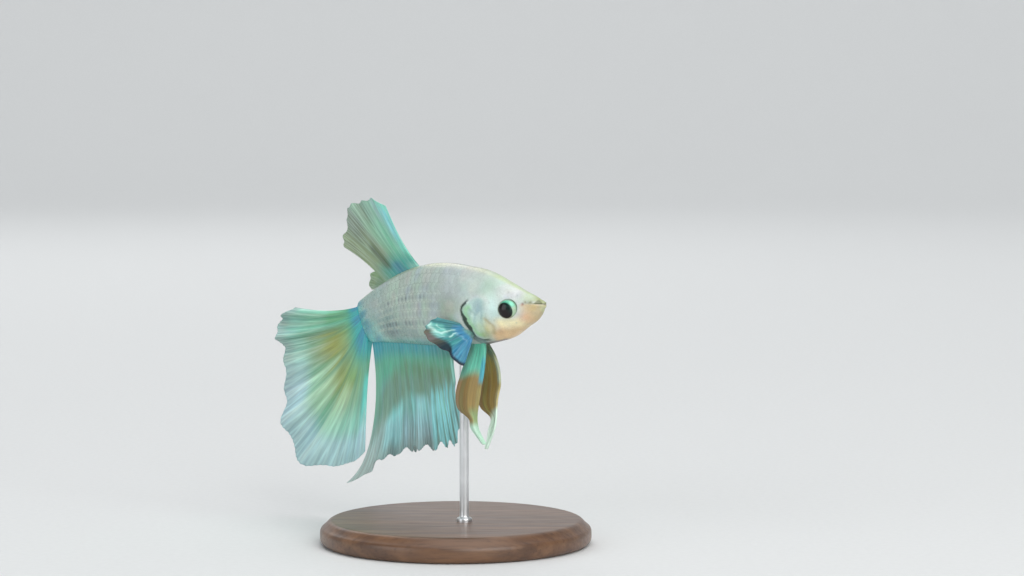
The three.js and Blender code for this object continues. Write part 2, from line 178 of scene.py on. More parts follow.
# %% [markdown]
# ## The body's form
# Seen from the side a betta is a long spindle: the back rises evenly to the dorsal fin, the jaw drops
# quickly below the upturned mouth.  Seen from above it is a wedge, widest at the gills.  It could be
# sculpted from a ball, but then no other piece would know where its surface is.  Here three curves give
# the height of the back, the depth of the belly and the half width along the body, and one rounded
# cross-section joins them.

# %% Cross-sections
top_line = curve((0, 0.008), (0.06, 0.0365), (0.12, 0.071), (0.2, 0.111), (0.3, 0.1345), (0.42, 0.148),
                 (0.56, 0.148), (0.68, 0.137), (0.8, 0.115), (0.9, 0.094), (1, 0.07))
bottom_line = curve((0, 0.042), (0.06, 0.0735), (0.12, 0.109), (0.18, 0.1235), (0.24, 0.132), (0.3, 0.133),
                    (0.42, 0.136), (0.56, 0.128), (0.68, 0.114), (0.8, 0.1), (0.9, 0.088), (1, 0.08))
half_line = curve((0, 0.022), (0.06, 0.04), (0.12, 0.056), (0.2, 0.07), (0.28, 0.076), (0.42, 0.07),
                  (0.56, 0.06), (0.7, 0.047), (0.85, 0.032), (0.93, 0.022), (1, 0.011))


def section(t):
    """Height above the axis, depth below it and half width at t, rounded off at the snout and the tail."""
    nose = np.sqrt(np.clip(1 - (1 - np.clip(t / 0.045, 0, 1)) ** 2, 0, 1))
    end = np.sqrt(np.clip(1 - (1 - np.clip((1 - t) / 0.055, 0, 1)) ** 2, 0, 1)) ** 0.8
    k = nose * end * LENGTH
    return top_line(t) * k, bottom_line(t) * k, half_line(t) * k


def slant(t, a):
    """The tail stem leans back as it rises: 0.45 of the height, fading in over the rear 0.4 of the body."""
    return 0.45 * smooth((t - 0.6) / 0.4) * a


def body(t, phi):
    """The body's surface in fish space; phi is 0 on the back and pi under the belly."""
    top, bottom, half = section(t)
    c, n = np.cos(phi), np.sin(phi)
    a = (top - bottom) / 2 + (top + bottom) / 2 * c
    b = half * np.sign(n) * np.abs(n) ** 0.9 * (1 - 0.1 * c)
    return t * LENGTH + slant(t, a), a, b


def flank(t, a):
    """How far out the surface is at the height a: the section's formula solved for b."""
    top, bottom, half = section(t)
    c = np.clip((a - (top - bottom) / 2) / ((top + bottom) / 2), -0.98, 0.98)
    return half * np.sqrt(1 - c * c) ** 0.9 * (1 - 0.1 * c)


def around(psi):
    """Spreads the angle so that equal steps of psi are nearly equal lengths round a tall section."""
    return psi + 0.15 * np.sin(2 * psi)


print("deepest section", np.round(sum(section(0.45)[:2]), 2), "mm, widest",
      np.round(2 * section(0.28)[2], 2), "mm")

# %% [markdown]
# ## Pieces from arrays
# Blender takes a mesh as flat lists of corners, so a piece is its points, its four-cornered faces and a
# few triangles at the poles.  `piece` also stores named values on the points, such as the painted
# colour, checks that the faces look outwards by the sign of the enclosed volume, and tells the frame
# which solids the piece stands for.

# %% Faces from a grid of points
def cells(index, closed=False):
    """The quads between neighbouring rows of an index grid; a closed grid also joins its last column
    to its first."""
    low, high = index[:-1], index[1:]
    if closed:
        return np.stack([low, np.roll(low, -1, 1), np.roll(high, -1, 1), high], -1).reshape(-1, 4)
    return np.stack([low[:, :-1], low[:, 1:], high[:, 1:], high[:, :-1]], -1).reshape(-1, 4)


def fan(ring, tip):
    """The triangles from each side of a closed ring of points to one tip."""
    return np.stack([ring, np.roll(ring, -1), np.full(len(ring), tip)], -1)


def rim_of(index):
    """The outer points of a square index grid, once round."""
    return np.concatenate([index[0, :-1], index[:-1, -1], index[-1, :0:-1], index[:0:-1, 0]])


def enclosed(points, quads, tris):
    """The volume inside the faces: the sum of the triangles' box products over six."""
    faces = np.concatenate([quads[:, [0, 1, 2]], quads[:, [0, 2, 3]], tris])
    p, q, r = (points[faces[:, k]] for k in range(3))
    return float(np.einsum("ij,ij->i", p, np.cross(q, r)).sum() / 6)


print("a grid of 3 by 4 points has", len(cells(np.arange(12).reshape(3, 4))), "quads")

# %% Make a piece
def piece(name, points, quads, tris, values, uv, material, replaces):
    """One finished object from its points in metres, faces, named point values and corner UVs."""
    points = points.reshape(-1, 3)
    tris = np.zeros((0, 3), int) if tris is None else tris
    centred = points - points.mean(0)
    if enclosed(centred, quads, tris) < 0:
        quads, tris = quads[:, ::-1], tris[:, ::-1]
        uv = [uv[0][:, ::-1], uv[1][:, ::-1]]
    corners = np.concatenate([quads.ravel(), tris.ravel()])
    sizes = np.repeat([4, 3], [len(quads), len(tris)])
    mesh = bpy.data.meshes.new(name)
    mesh.vertices.add(len(points))
    mesh.vertices.foreach_set("co", points.ravel())
    mesh.loops.add(len(corners))
    mesh.loops.foreach_set("vertex_index", corners)
    mesh.polygons.add(len(sizes))
    mesh.polygons.foreach_set("loop_start", np.cumsum(sizes) - sizes)
    mesh.update(calc_edges=True)
    mesh.polygons.foreach_set("use_smooth", np.ones(len(sizes), bool))
    bake = mesh.uv_layers.new(name="OFBake")
    bake.data.foreach_set("uv", np.concatenate([part.reshape(-1, 2) for part in uv]).ravel())
    for label, value in values.items():
        if value.shape[-1] == 3 and value.ndim > 1:
            rgba = np.concatenate([value.reshape(-1, 3), np.ones((len(points), 1))], 1)
            mesh.color_attributes.new(label, "FLOAT_COLOR", "POINT").data.foreach_set("color", rgba.ravel())
        else:
            mesh.attributes.new(label, "FLOAT", "POINT").data.foreach_set("value", value.ravel())
    mesh.validate()
    thing = bpy.data.objects.new(name, mesh)
    bpy.context.scene.collection.objects.link(thing)
    mesh.materials.append(material)
    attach(thing, "root")
    if replaces:
        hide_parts(*replaces)
    size = (points.max(0) - points.min(0)) / MM
    print(f"{name}: {2 * len(quads) + len(tris)} triangles, {np.round(size, 1).tolist()} mm")
    return thing


print("pieces are written in metres, so 1 mm counts as", MM)

# %% [markdown]
# ## Nodes without clutter
# A material is a small tree of nodes.  `Tree` keeps the writing short: `add` makes a node and sets its
# sockets, and a socket that is given another node's output becomes a link.

# %% A material tree
class Tree:
    """A material with one Principled shader, and short ways to add nodes before it."""

    def __init__(self, name, **sockets):
        """A new material; the sockets are set on its shader."""
        self.material = bpy.data.materials.new(name)
        self.material.use_nodes = True
        self.nodes = self.material.node_tree.nodes
        self.links = self.material.node_tree.links
        self.shader = self.nodes["Principled BSDF"]
        self.set(self.shader, sockets)

    def set(self, node, sockets):
        """Sets sockets by name or number; another node's output is linked."""
        for key, value in sockets.items():
            socket = node.inputs[key.replace("_", " ") if isinstance(key, str) else key]
            if isinstance(value, bpy.types.NodeSocket):
                self.links.new(value, socket)
            else:
                socket.default_value = value

    def add(self, kind, sockets=None, **settings):
        """A new node of that kind."""
        node = self.nodes.new("ShaderNode" + kind)
        for key, value in settings.items():
            setattr(node, key, value)
        self.set(node, sockets or {})
        return node

    def value(self, name, output="Fac"):
        """What the mesh stores under that name."""
        return self.add("Attribute", attribute_name=name).outputs[output]

    def place(self, scale=(1, 1, 1), turn=(0, 0, 0)):
        """Object coordinates, stretched and turned."""
        where = self.add("TexCoord").outputs["Object"]
        return self.add("Mapping", {"Vector": where, "Scale": scale, "Rotation": turn}).outputs["Vector"]

    def noise(self, scale, detail=3.0, where=None):
        """Noise on object coordinates, or on the vector that `where` gives."""
        vector = self.place() if where is None else where
        sockets = {"Scale": scale, "Detail": detail, "Roughness": 0.6, "Vector": vector}
        return self.add("TexNoise", sockets).outputs["Fac"]

    def ramp(self, factor, low, high, start=0.3, end=0.7):
        """Maps factor from start..end to low..high."""
        sockets = {"Value": factor, "From_Min": start, "From_Max": end, "To_Min": low, "To_Max": high}
        return self.add("MapRange", sockets).outputs["Result"]

    def sum(self, a, b, operation="ADD"):
        """a and b added, or joined by another operation."""
        return self.add("Math", {0: a, 1: b}, operation=operation).outputs[0]

    def tint(self, colour, factor):
        """The colour times a grey factor."""
        grey = self.add("CombineColor", {0: factor, 1: factor, 2: factor}).outputs[0]
        mixer = self.add("Mix", {0: 1.0, 6: colour, 7: grey}, data_type="RGBA", blend_type="MULTIPLY")
        return mixer.outputs[2]

    def blend(self, colour, other, factor):
        """colour where the factor is 0, other where it is 1."""
        return self.add("Mix", {0: factor, 6: colour, 7: other}, data_type="RGBA").outputs[2]

    def bump(self, height, strength, distance):
        """A normal tilted as if the surface rose by distance, in metres, where height is 1."""
        sockets = {"Height": height, "Strength": strength, "Distance": distance}
        return self.add("Bump", sockets).outputs["Normal"]


print("a tree's short ways:", ", ".join(name for name in vars(Tree) if not name.startswith("_")))

# %% Colours
def ink(red, green, blue):
    """A colour given as screen numbers from 0 to 255, turned into the linear light that shaders use."""
    c = np.array([red, green, blue]) / 255
    return np.where(c <= 0.04045, c / 12.92, ((c + 0.055) / 1.055) ** 2.4)


print("ink(255, 128, 0) is", np.round(ink(255, 128, 0), 3).tolist())

# %% [markdown]
# ## The head's small forms
# The head carries the character: an upturned mouth with thick lips, a nostril pit ahead of the eye, the
# eye's soft lid, the crease of the cheek bone and the gill cover, whose free hind edge stands proud of
# the shoulder over a dark gap.  Each is a height in millimetres over the plain body, as a formula of s
# and a, so they can be added together and read one by one.

# %% Mouth and nostril
mouth_line = curve((0, -0.3), (0.5, -0.12), (1.3, -0.03), (2, 0), (2.8, 0.04), (3.4, 0.06))
crease_line = curve((1.2, 0.62), (1.45, 0.54), (2, 0.35), (2.6, 0.17), (3, 0.05))
NOSTRIL = (3.2, -0.03)


def gape(s, a):
    """The folded corner of the mouth: a small soft triangle above the slit, 1 inside and 0 outside."""
    rise = 0.62 * (1 - (np.abs(s - 0.92) / 0.6) ** 1.5)
    return smooth((rise - (a - mouth_line(s))) / 0.34 + 0.5) * smooth((a - mouth_line(s)) / 0.14 + 0.5)


def mouth_relief(s, a):
    """A slit along the mouth line, deep at the lips and shallow at the corner, between two rolls."""
    d = a - mouth_line(s)
    front = 1 - smooth((s - 0.9) / 1.5)
    slit = -0.16 * front * hill(d, 0.08) - 0.03 * window(s, 1, 2.6, 0.4) * hill(d, 0.12)
    upper = 0.07 * hill(d - 0.26, 0.17) * (1 - smooth((s - 0.5) / 0.3))
    lower = 0.09 * hill(d + 0.34, 0.26) * (1 - smooth((s - 1.3) / 0.9))
    fold = -0.035 * hill(a + 0.9 + 0.5 * s, 0.16) * window(s, 0.3, 1.6, 0.4)
    crease = -0.05 * hill(a - crease_line(s), 0.13) * window(s, 1.4, 2.9, 0.25)
    return slit + upper + lower + fold + crease - 0.1 * gape(s, a)


def nostril_relief(s, a):
    """A pit with a low rim round it."""
    r = np.hypot(s - NOSTRIL[0], a - NOSTRIL[1])
    return 0.04 * hill(r - 0.3, 0.1) - 0.15 * hill(r, 0.17)


print("mouth slit", round(float(-mouth_relief(0.4, mouth_line(0.4))), 2), "mm deep at the lips")

# %% Eye socket, cheek and gill cover
EYE_AT = (5.6, -0.78)
OPENING = (5.45, -0.61)  # the round opening in the skin lies a little ahead of the eye's middle
OPENING_RADIUS = 1.45
GILL_AT = (10.1, -1.7)
gill_radius = curve((0, 2.85), (28, 3.35), (50, 3.2), (90, 3.3), (135, 2.9), (180, 2.7), (225, 3.2),
                    (255, 3.9), (283, 3.7), (297, 3.1), (320, 2.78), (350, 2.78), (360, 2.85))
cheek_line = curve((-4.5, 8.2), (-4.2, 8.1), (-3.3, 7.95), (-2.6, 8.6), (-1.9, 9.2), (-1.2, 9.5))


def from_eye(s, a):
    """Distance from the middle of the eye's opening."""
    return np.hypot(s - OPENING[0], a - OPENING[1])


def from_gill(s, a):
    """Distance outside the gill cover's rim; 1 along its free hind edge and 0 along its joined front;
    and the angle round the cover's middle in degrees."""
    angle = np.degrees(np.arctan2(a - GILL_AT[1], s - GILL_AT[0])) % 360
    outside = np.hypot(s - GILL_AT[0], a - GILL_AT[1]) - gill_radius(angle)
    free = window((angle + 115) % 360, 22, 162, 16)
    return outside, free, angle


def eye_relief(s, a):
    """A hollow under the eye, with a soft lid round it."""
    r = from_eye(s, a)
    return 0.05 * hill(r - OPENING_RADIUS - 0.2, 0.16) - 0.5 * smooth((OPENING_RADIUS + 0.06 - r) / 0.15)


def gill_relief(s, a):
    """The plate's rise, the gap behind it, the ribs of the skirt below it and the cheek's crease."""
    d, free, angle = from_gill(s, a)
    plate = 0.16 * smooth(-d / 0.2) * free * smooth((d + 3.1) / 2.2)
    gap = -0.13 * free * hill(d - 0.16, 0.15)
    skirt = 0.03 * np.cos(TAU * d / 0.42) * window(d, 0.4, 1.3, 0.2) * window(angle, 284, 314, 10)
    rays = 0.01 * np.cos(angle * 0.55) * window(d, -1.9, -0.9, 0.5) * free
    cheek = -0.04 * hill(s - cheek_line(a), 0.26) * window(a, -4.3, -2.0, 0.6)
    return plate + gap + skirt + rays + cheek


def pores(s, a):
    """The sensory pores of the head: a few pinpricks over and behind the eye."""
    spots = [(9.2, 4.4), (4.1, 1.35), (5.5, 1.9), (7.1, 1.55), (8.3, 0.4), (7.6, -2.4), (4.3, -2.9)]
    return sum(hill(np.hypot(s - x, a - y), 0.12) for x, y in spots)


print("gill cover stands", round(float(gill_relief(12.7, -1.6)), 2), "mm proud")

# %% [markdown]
# ## Where the coat begins
# Scales cover the trunk and the nape and stop behind the gill cover; the face is bare.  The skin lies a
# little deeper under the coat, so that the scales' backs come out level with the solid body.

# %% The coat's front edge
coat_front = curve((-7, 14.6), (-5, 13.9), (-3.5, 13.5), (-2, 13.5), (0, 13.6), (1, 12.9), (2.2, 11.2),
                   (4, 9.4), (6, 8.2), (8, 7.6))
BARE_DEPTH = 0.03  # how deep the bare skin lies inside the solid body
COAT_DEPTH = 0.12  # and how deep it lies under the scales


def coated(s, a):
    """0 on the bare face, 1 under the coat."""
    return smooth((s - coat_front(a)) / 4.5)


def skin_relief(s, a):
    """All the small forms, and the sinking under the coat."""
    small = mouth_relief(s, a) + nostril_relief(s, a) + eye_relief(s, a) + gill_relief(s, a)
    return small - 0.03 * pores(s, a) - BARE_DEPTH - (COAT_DEPTH - BARE_DEPTH) * coated(s, a)


print("coat begins", round(float(coat_front(0)), 1), "mm behind the snout at mid height")

# %% [markdown]
# ## The paint
# The fish's colours come in soft fields, not in outlines.  An image would have to be drawn and wrapped
# round the body, and the scales would need a second one.  The paint is instead one formula of the place
# on the body, laid on in thin washes as a painter would: the silver flank first, then the back, the
# belly, the white head, the peach jaw and last the dark accents.  Painted reflections, painted shade and
# painted shadows are among the washes.  The skin and the scales both read it, so the markings run on
# from one to the other.

# %% Washes of colour
def wash(colour, over, amount):
    """Lays the colour `over` on the colours already there, as much as amount says."""
    return mix(colour, over, np.clip(amount, 0, 1)[..., None])


def height(t, a):
    """-1 under the belly, 0 at mid height, 1 on the back."""
    top, bottom, _ = section(t)
    return (a - (top - bottom) / 2) / np.maximum((top + bottom) / 2, 0.01)


print("mid height at the gills is", round(float(height(0.25, 0.0)), 2))

# %% Paint of the trunk
tail_blue_from = curve((-6, 36.4), (-4.7, 38.4), (-3.7, 40.4), (-1.8, 42), (0.1, 43.5), (2, 44.9),
                       (3.5, 46.3))


def trunk_paint(t, s, a):
    """Silver flank, pale back, a painted yellow-green reflection on the ridge, bluish belly, warm shoulder,
    blue tail root.
    """
    h = height(t, a)
    colour = np.broadcast_to(ink(174, 194, 184), s.shape + (3,))
    colour = wash(colour, ink(146, 164, 136), 0.85 * hill(s - 15.0, 3.4) * hill(a + 1.0, 2.8))
    colour = wash(colour, ink(184, 204, 190), 0.8 * smooth((h - 0.15) / 0.5))
    # Painted reflection: a yellow-green rim of light along the top of the back.
    colour = wash(colour, ink(190, 208, 150), 0.7 * smooth((h - 0.88) / 0.1))
    colour = wash(colour, ink(124, 162, 156), 0.8 * smooth((-h - 0.16) / 0.44))
    colour = wash(colour, ink(112, 190, 186), 0.9 * smooth((-h - 0.74) / 0.2))
    colour = wash(colour, ink(150, 190, 184), 0.65 * smooth((s - 34) / 7))
    cloud = grain(s * 0.5, a * 0.35, 3) - 0.5
    colour = wash(colour, ink(172, 190, 208), 0.5 * smooth(cloud * 2.4))
    mint = grain(s * 0.4 + 9, a * 0.3, 4) - 0.5
    colour = wash(colour, ink(182, 220, 194), 0.5 * smooth(mint * 2.4))
    colour = wash(colour, ink(194, 192, 204), 0.4 * hill(s - 15, 5) * smooth((h + 0.1) / 0.4))
    warm = grain(s * 0.45 + 21, a * 0.4, 8) - 0.5
    colour = wash(colour, ink(196, 190, 186), 0.35 * smooth(warm * 2.4))
    colour = wash(colour, ink(122, 170, 160), 0.7 * smooth((s - 29) / 7) * smooth((0.3 - h) / 0.6))
    smudge = hill(s - 35.4, 2.6) * hill(a + 2.9, 1.1)
    colour = wash(colour, ink(92, 128, 128), 0.6 * smudge)
    colour = wash(colour, ink(104, 142, 138), 0.55 * hill(s - 36.6, 2.6) * hill(a + 1.2, 1.2))
    strand = grain(a * 1.6 + 0.25 * s, s * 0.25, 7)
    behind = s - tail_blue_from(a)
    colour = wash(colour, ink(150, 226, 210), 0.55 * hill(behind + 0.9, 1.5) * smooth((0.8 - a) / 2))
    root = smooth((behind + 0.6 + 2.2 * strand) / 3.6)
    cyan_or_blue = mix(ink(84, 196, 190), ink(44, 152, 174), smooth((strand - 0.3) / 0.5)[..., None])
    return wash(colour, cyan_or_blue, 0.9 * root)


print("flank at mid height", np.round(trunk_paint(np.array([0.6]), np.array([29.0]), np.array([0.0])), 2))

# %% Paint of the head
def head_paint(s, a):
    """White crown and cheek with a painted yellow-green reflection along the ridge, cream under the eye, a
    peach jaw with painted light on its underside, and an olive snout and chin."""
    colour = np.broadcast_to(ink(194, 204, 198), s.shape + (3,))
    cloud = grain(s * 0.75 + 3, a * 0.8, 35) - 0.5
    colour = wash(colour, ink(188, 194, 206), 0.6 * smooth(cloud * 3) * smooth((a - 0.4) / 1.2))
    colour = wash(colour, ink(184, 210, 194), 0.6 * smooth(-cloud * 3) * smooth((a - 0.4) / 1.2))
    colour = wash(colour, ink(156, 184, 166), 0.85 * smooth((s - 6.4) / 3) * smooth((a - 0.8) / 2.0))
    colour = wash(colour, ink(192, 222, 216), 0.85 * hill(s - 7.7, 1.2) * hill(a + 0.6, 2.2))
    colour = wash(colour, ink(214, 216, 212), 0.6 * hill(s - 4.9, 1.7) * hill(a - 1.9, 0.9))
    # Painted reflection: the yellow-green rim of light along the top of the head.
    ridge = smooth((height(s / LENGTH, a) - 0.9) / 0.09)
    colour = wash(colour, ink(186, 204, 146), 0.7 * ridge)
    snout = smooth((4.2 - s) / 2.2) * smooth((a - 0.1) / 0.5)
    colour = wash(colour, ink(180, 196, 156), 0.85 * snout * (0.6 + 0.4 * grain(s * 2.2, a * 2.2, 36)))
    colour = wash(colour, ink(160, 170, 116), 0.8 * smooth((2.3 - s) / 1.4) * smooth((a - 0.1) / 0.4))
    under = smooth((-1.5 - a) / 1.4) * smooth((8.4 - s + 0.35 * (a + 2)) / 1.4)
    colour = wash(colour, ink(230, 222, 180), under)
    jaw = smooth((-2.3 - a - 0.1 * s) / 1.5) * smooth((8.9 - s) / 1.2)
    jaw = np.maximum(jaw, smooth((mouth_line(s) - a) / 0.35 + 0.3) * smooth((4.4 - s) / 2.4))
    colour = wash(colour, ink(208, 182, 140), jaw)
    # Painted light: the underside of the jaw lightened where the lights leave it in shade.
    painted_underside_light = smooth((-a - 3.3 - 0.1 * s) / 1.1) * smooth((9.2 - s) / 1.4)
    colour = wash(colour, ink(240, 212, 170), 0.7 * painted_underside_light)
    blush = hill(np.hypot((s - 2.9) / 1.4, a + 2.1), 0.75)
    blush = blush + 0.6 * hill(np.hypot((s - 7.0) * 1.3, a + 4.1), 0.9)
    colour = wash(colour, ink(204, 152, 118), 0.5 * blush)
    below = smooth((mouth_line(s) - a) / 0.3)
    chin = below * smooth((3.6 - s + 0.3 * a) / 2.6) * (0.75 + 0.25 * grain(s * 3, a * 3, 33))
    colour = wash(colour, ink(164, 154, 108), 0.75 * chin)
    rim = below * smooth((0.95 - s + 0.12 * a) / 0.5)
    colour = wash(colour, ink(172, 184, 132), 0.8 * rim * (0.5 + 0.5 * grain(s * 2, a * 6, 38)))
    lip = smooth((a - mouth_line(s)) / 0.16) * smooth((1.0 - s) / 0.5)
    return wash(colour, ink(150, 160, 100), 0.85 * lip)


print("cheek below the eye", np.round(head_paint(np.array([6.0]), np.array([-3.5])), 2))

# %% Paint of the gill cover
def gill_paint(colour, s, a):
    """A grey-green plate with soft upright streaks, a mint inner rim, an olive lower part, the dark
    green hind edge, and the blue-grey skirt under it."""
    d, free, angle = from_gill(s, a)
    inside = smooth(-d / 0.7)
    colour = wash(colour, ink(154, 190, 182), 0.85 * inside * smooth((s - 8.3) / 1.4))
    colour = wash(colour, ink(134, 164, 172), 0.75 * hill(s - 10.1, 0.75) * hill(a + 0.5, 1.5) * inside)
    streak = smooth((grain(s * 2.6 + 0.5 * a, a * 0.5, 41) - 0.4) / 0.3)
    colour = wash(colour, ink(198, 222, 210), 0.5 * inside * streak * smooth((s - 8.3) / 1.2))
    mint = hill(d + 1.05, 0.45) * free * window(a, -4.6, 0.3, 0.6)
    colour = wash(colour, ink(140, 200, 142), 0.9 * mint * (0.6 + 0.4 * grain(angle / 8, d * 2, 44)))
    colour = wash(colour, ink(186, 184, 110), 0.75 * hill(s - 8.9, 0.6) * hill(a + 3.6, 1.3))
    colour = wash(colour, ink(150, 158, 112), 0.7 * hill(s - 9.6, 0.7) * hill(a + 4.6, 0.7))
    colour = wash(colour, ink(226, 216, 172), 0.6 * hill(s - 8.2, 0.9) * hill(a + 3.5, 0.8))
    colour = wash(colour, ink(184, 206, 160), 0.55 * hill(s - 10.1, 0.7) * hill(a + 3.3, 0.8))
    skirt = window(angle, 276, 312, 10) * window(d, -0.2, 0.9, 0.35)
    colour = wash(colour, ink(60, 104, 108), 0.8 * skirt * (0.7 + 0.3 * grain(angle / 5, d * 2, 43)))
    turn = (angle + 90) % 360
    thick = 0.24 + 0.5 * window(turn, 46, 92, 26) + 0.3 * (grain(angle / 9, 2.0, 42) - 0.5)
    edge = window(d, -thick, 0.06, 0.14) * free * (0.7 + 0.3 * smooth((turn - 14) / 20))
    dark = mix(ink(40, 72, 76), ink(18, 50, 32), smooth((turn - 20) / 20)[..., None])
    return wash(colour, dark, edge)


print("the cover's hind edge", np.round(gill_paint(np.zeros((1, 3)), np.array([12.9]), np.array([-2.0])), 2))

# %% Marks along the rows of scales
COAT_FROM = 7.2  # where the lattice of scale roots begins
SCALE_PITCH = 1.25  # from one scale's root to the next along a row
ROWS = 22  # rows of scales round the body


def row_marks(t, s, psi):
    """Short dark dashes near the hind edges of the flank's scales; some rows have more of them than
    others, they come and go along a row, and low on the rear there is a knot of bolder ones."""
    row = np.abs(psi) * ROWS / TAU - 0.5
    which = np.round(row)
    amount = np.interp(which, (2, 3, 4, 5, 6, 7, 8, 9), (0, 0.3, 0.9, 0.3, 0.3, 0.8, 0.45, 0))
    centred = hill(row - which, 0.25)
    along = (t * LENGTH - COAT_FROM - 1.5) / SCALE_PITCH - 0.5 * ((which + (psi < 0)) % 2)
    beat = 0.5 + 0.5 * np.cos(TAU * along)
    patch = smooth((grain(s * 0.45, which * 7.3, 5) - 0.25) / 0.4)
    uneven = 0.3 + 0.7 * smooth((grain(s * 1.3, which * 3.1, 6) - 0.35) / 0.3)
    knot = np.interp(which, (6, 7, 8, 9), (0, 1.0, 0.6, 0)) * window(s, 32, 36.6, 1.0)
    return np.maximum(amount * patch, knot) * uneven * centred * beat * window(s, 24.5, 37.5, 4)


def row_lines(s, psi):
    """A thin light line between neighbouring scale rows, on the rear of the flank."""
    row = psi * ROWS / TAU - 0.5
    between = hill(np.abs(row - np.round(row)) - 0.5, 0.16)
    return between * window(s, 21, 38, 5) * window(row, 3, 7.6, 0.8)


print("rows", ROWS, "with roots", SCALE_PITCH, "mm apart")

# %% The whole paint
def body_paint(t, phi, psi):
    """The whole paint at t along the body and phi round it."""
    s, a, _ = body(t, phi)
    colour = trunk_paint(t, s, a)
    face = 1 - smooth((s - coat_front(a) + 2.2) / 3.2)
    colour = wash(colour, head_paint(s, a), face)
    colour = gill_paint(colour, s, a)
    broken = 0.3 + 0.7 * smooth((grain(s * 0.7, psi * 9, 39) - 0.25) / 0.4)
    colour = wash(colour, ink(214, 230, 212), 0.5 * row_lines(s, np.abs(psi)) * broken)
    colour = wash(colour, ink(34, 66, 78), 0.85 * row_marks(t, s, psi))
    # Painted shade: a dark line along the underside of the throat, where it turns away from the light.
    throat = smooth((-height(t, a) - 0.94) / 0.05) * window(s, 7.2, 10.4, 0.8)
    colour = wash(colour, ink(80, 62, 62), 0.8 * throat)
    # Painted shadow: a thin grey ring on the skin round the eye's opening.
    r = from_eye(s, a)
    colour = wash(colour, ink(140, 156, 140), 0.5 * hill(r - OPENING_RADIUS + 0.05, 0.08))
    # Painted shade: the mouth's slit darkened, and the gape, the folded corner of the mouth, painted dark
    # olive as its shadow.
    d = a - mouth_line(s)
    colour = wash(colour, ink(160, 150, 112), 0.6 * hill(d, 0.16) * (1 - smooth((s - 2.4) / 0.8)))
    colour = wash(colour, ink(106, 112, 70), 0.9 * gape(s, a))
    smudge = hill(d - 0.22, 0.26) * (hill(s - 2.05, 0.34) + 0.8 * hill(s - 2.8, 0.26))
    colour = wash(colour, ink(122, 124, 84), smudge * (0.6 + 0.4 * grain(s * 4, a * 5, 34)))
    spot = hill(np.hypot(s - NOSTRIL[0], a - NOSTRIL[1]), 0.26)
    colour = wash(colour, ink(146, 92, 68), 0.75 * spot)
    cheek = hill(s - cheek_line(a), 0.35) * window(a, -4.3, -2.2, 0.6)
    colour = wash(colour, ink(160, 150, 108), 0.6 * cheek)
    return wash(colour, ink(150, 166, 158), 0.5 * pores(s, a))


# The back's ridge carries the painted yellow-green reflection.
ridge_paint_with_reflection = body_paint(np.array([0.4]), np.array([0.0]), np.array([0.0]))
print("the back's ridge", np.round(ridge_paint_with_reflection, 2))

# %% [markdown]
# ## The skin's finish
# Wet fish skin is a clear slimy layer over grains of silver (guanine).  A clear coat gives the wet
# gloss, a little subsurface light softens the shadows, and two noises break the paint up: fine grains
# and larger clouds.  The bump is no more than a few hundredths of a millimetre.

# %% Skin and scale finish
def living_finish(name, roughness, coat, grain_size, scatter, film):
    """Paint broken up by clouds and grains under a clear coat."""
    tree = Tree(name, Roughness=roughness, Coat_Weight=coat, Coat_Roughness=0.16,
                Subsurface_Weight=scatter, Subsurface_Radius=(0.0009, 0.0006, 0.0005),
                Subsurface_Scale=1.0, Thin_Film_Thickness=film, Thin_Film_IOR=1.4)
    clouds = tree.ramp(tree.noise(700, 2), 0.93, 1.07)
    grains = tree.ramp(tree.noise(grain_size, 4), 0.9, 1.09)
    paint = tree.tint(tree.value("paint", "Color"), tree.sum(clouds, grains, "MULTIPLY"))
    tint = tree.blend(paint, (0.62, 0.68, 0.86, 1), tree.ramp(tree.noise(420, 2), 0.0, 0.1, 0.5, 0.75))
    gloss = tree.ramp(tree.noise(grain_size * 0.6), roughness - 0.08, roughness + 0.12)
    normal = tree.bump(tree.noise(grain_size * 1.3, 3), 0.35, 0.00003)
    tree.set(tree.shader, {"Base Color": tint, "Roughness": gloss, "Normal": normal})
    return tree


skin_finish = living_finish("wet_skin", 0.38, 0.45, 5200, 0.18, 0.0)
scale_finish = living_finish("pearl_scale", 0.3, 0.5, 7000, 0.1, 320.0)
print("finishes:", skin_finish.material.name, scale_finish.material.name)

# %% [markdown]
# ## The skin
# A fish has no joints on its outside, so the skin is one closed surface from the snout to the tail
# root.  Head, gill covers and trunk could be made apart and blended, but their seams would show in the
# gloss.  Its rings stand close together on the head, where the small forms are, and wider along the
# trunk.  The points are first placed on the plain body, and then pushed along the surface's own normal
# by the relief.

# %% One skin for the whole body
SKIN_RINGS = 288
SKIN_ROUND = 232


def normals(points, closed=True):
    """Unit normals of a grid of points: the cross product of its two directions."""
    along = np.gradient(points, axis=0)
    if closed:
        across = np.roll(points, -1, 1) - np.roll(points, 1, 1)
    else:
        across = np.gradient(points, axis=1)
    n = np.cross(across, along)
    return n / np.maximum(np.linalg.norm(n, axis=-1, keepdims=True), 1e-12)


def ring_places():
    """t of each ring: packed at the snout, 0.1 mm apart on the head, closing up again at the tail."""
    share = np.linspace(0, 1, SKIN_RINGS + 2)[1:-1]
    spread = curve((0, 0), (0.06, 0.012), (0.5, 0.275), (0.93, 0.955), (1, 1))
    return spread(share)


print("rings on the head, up to the gills:", int((ring_places() < 0.27).sum()), "of", SKIN_RINGS)

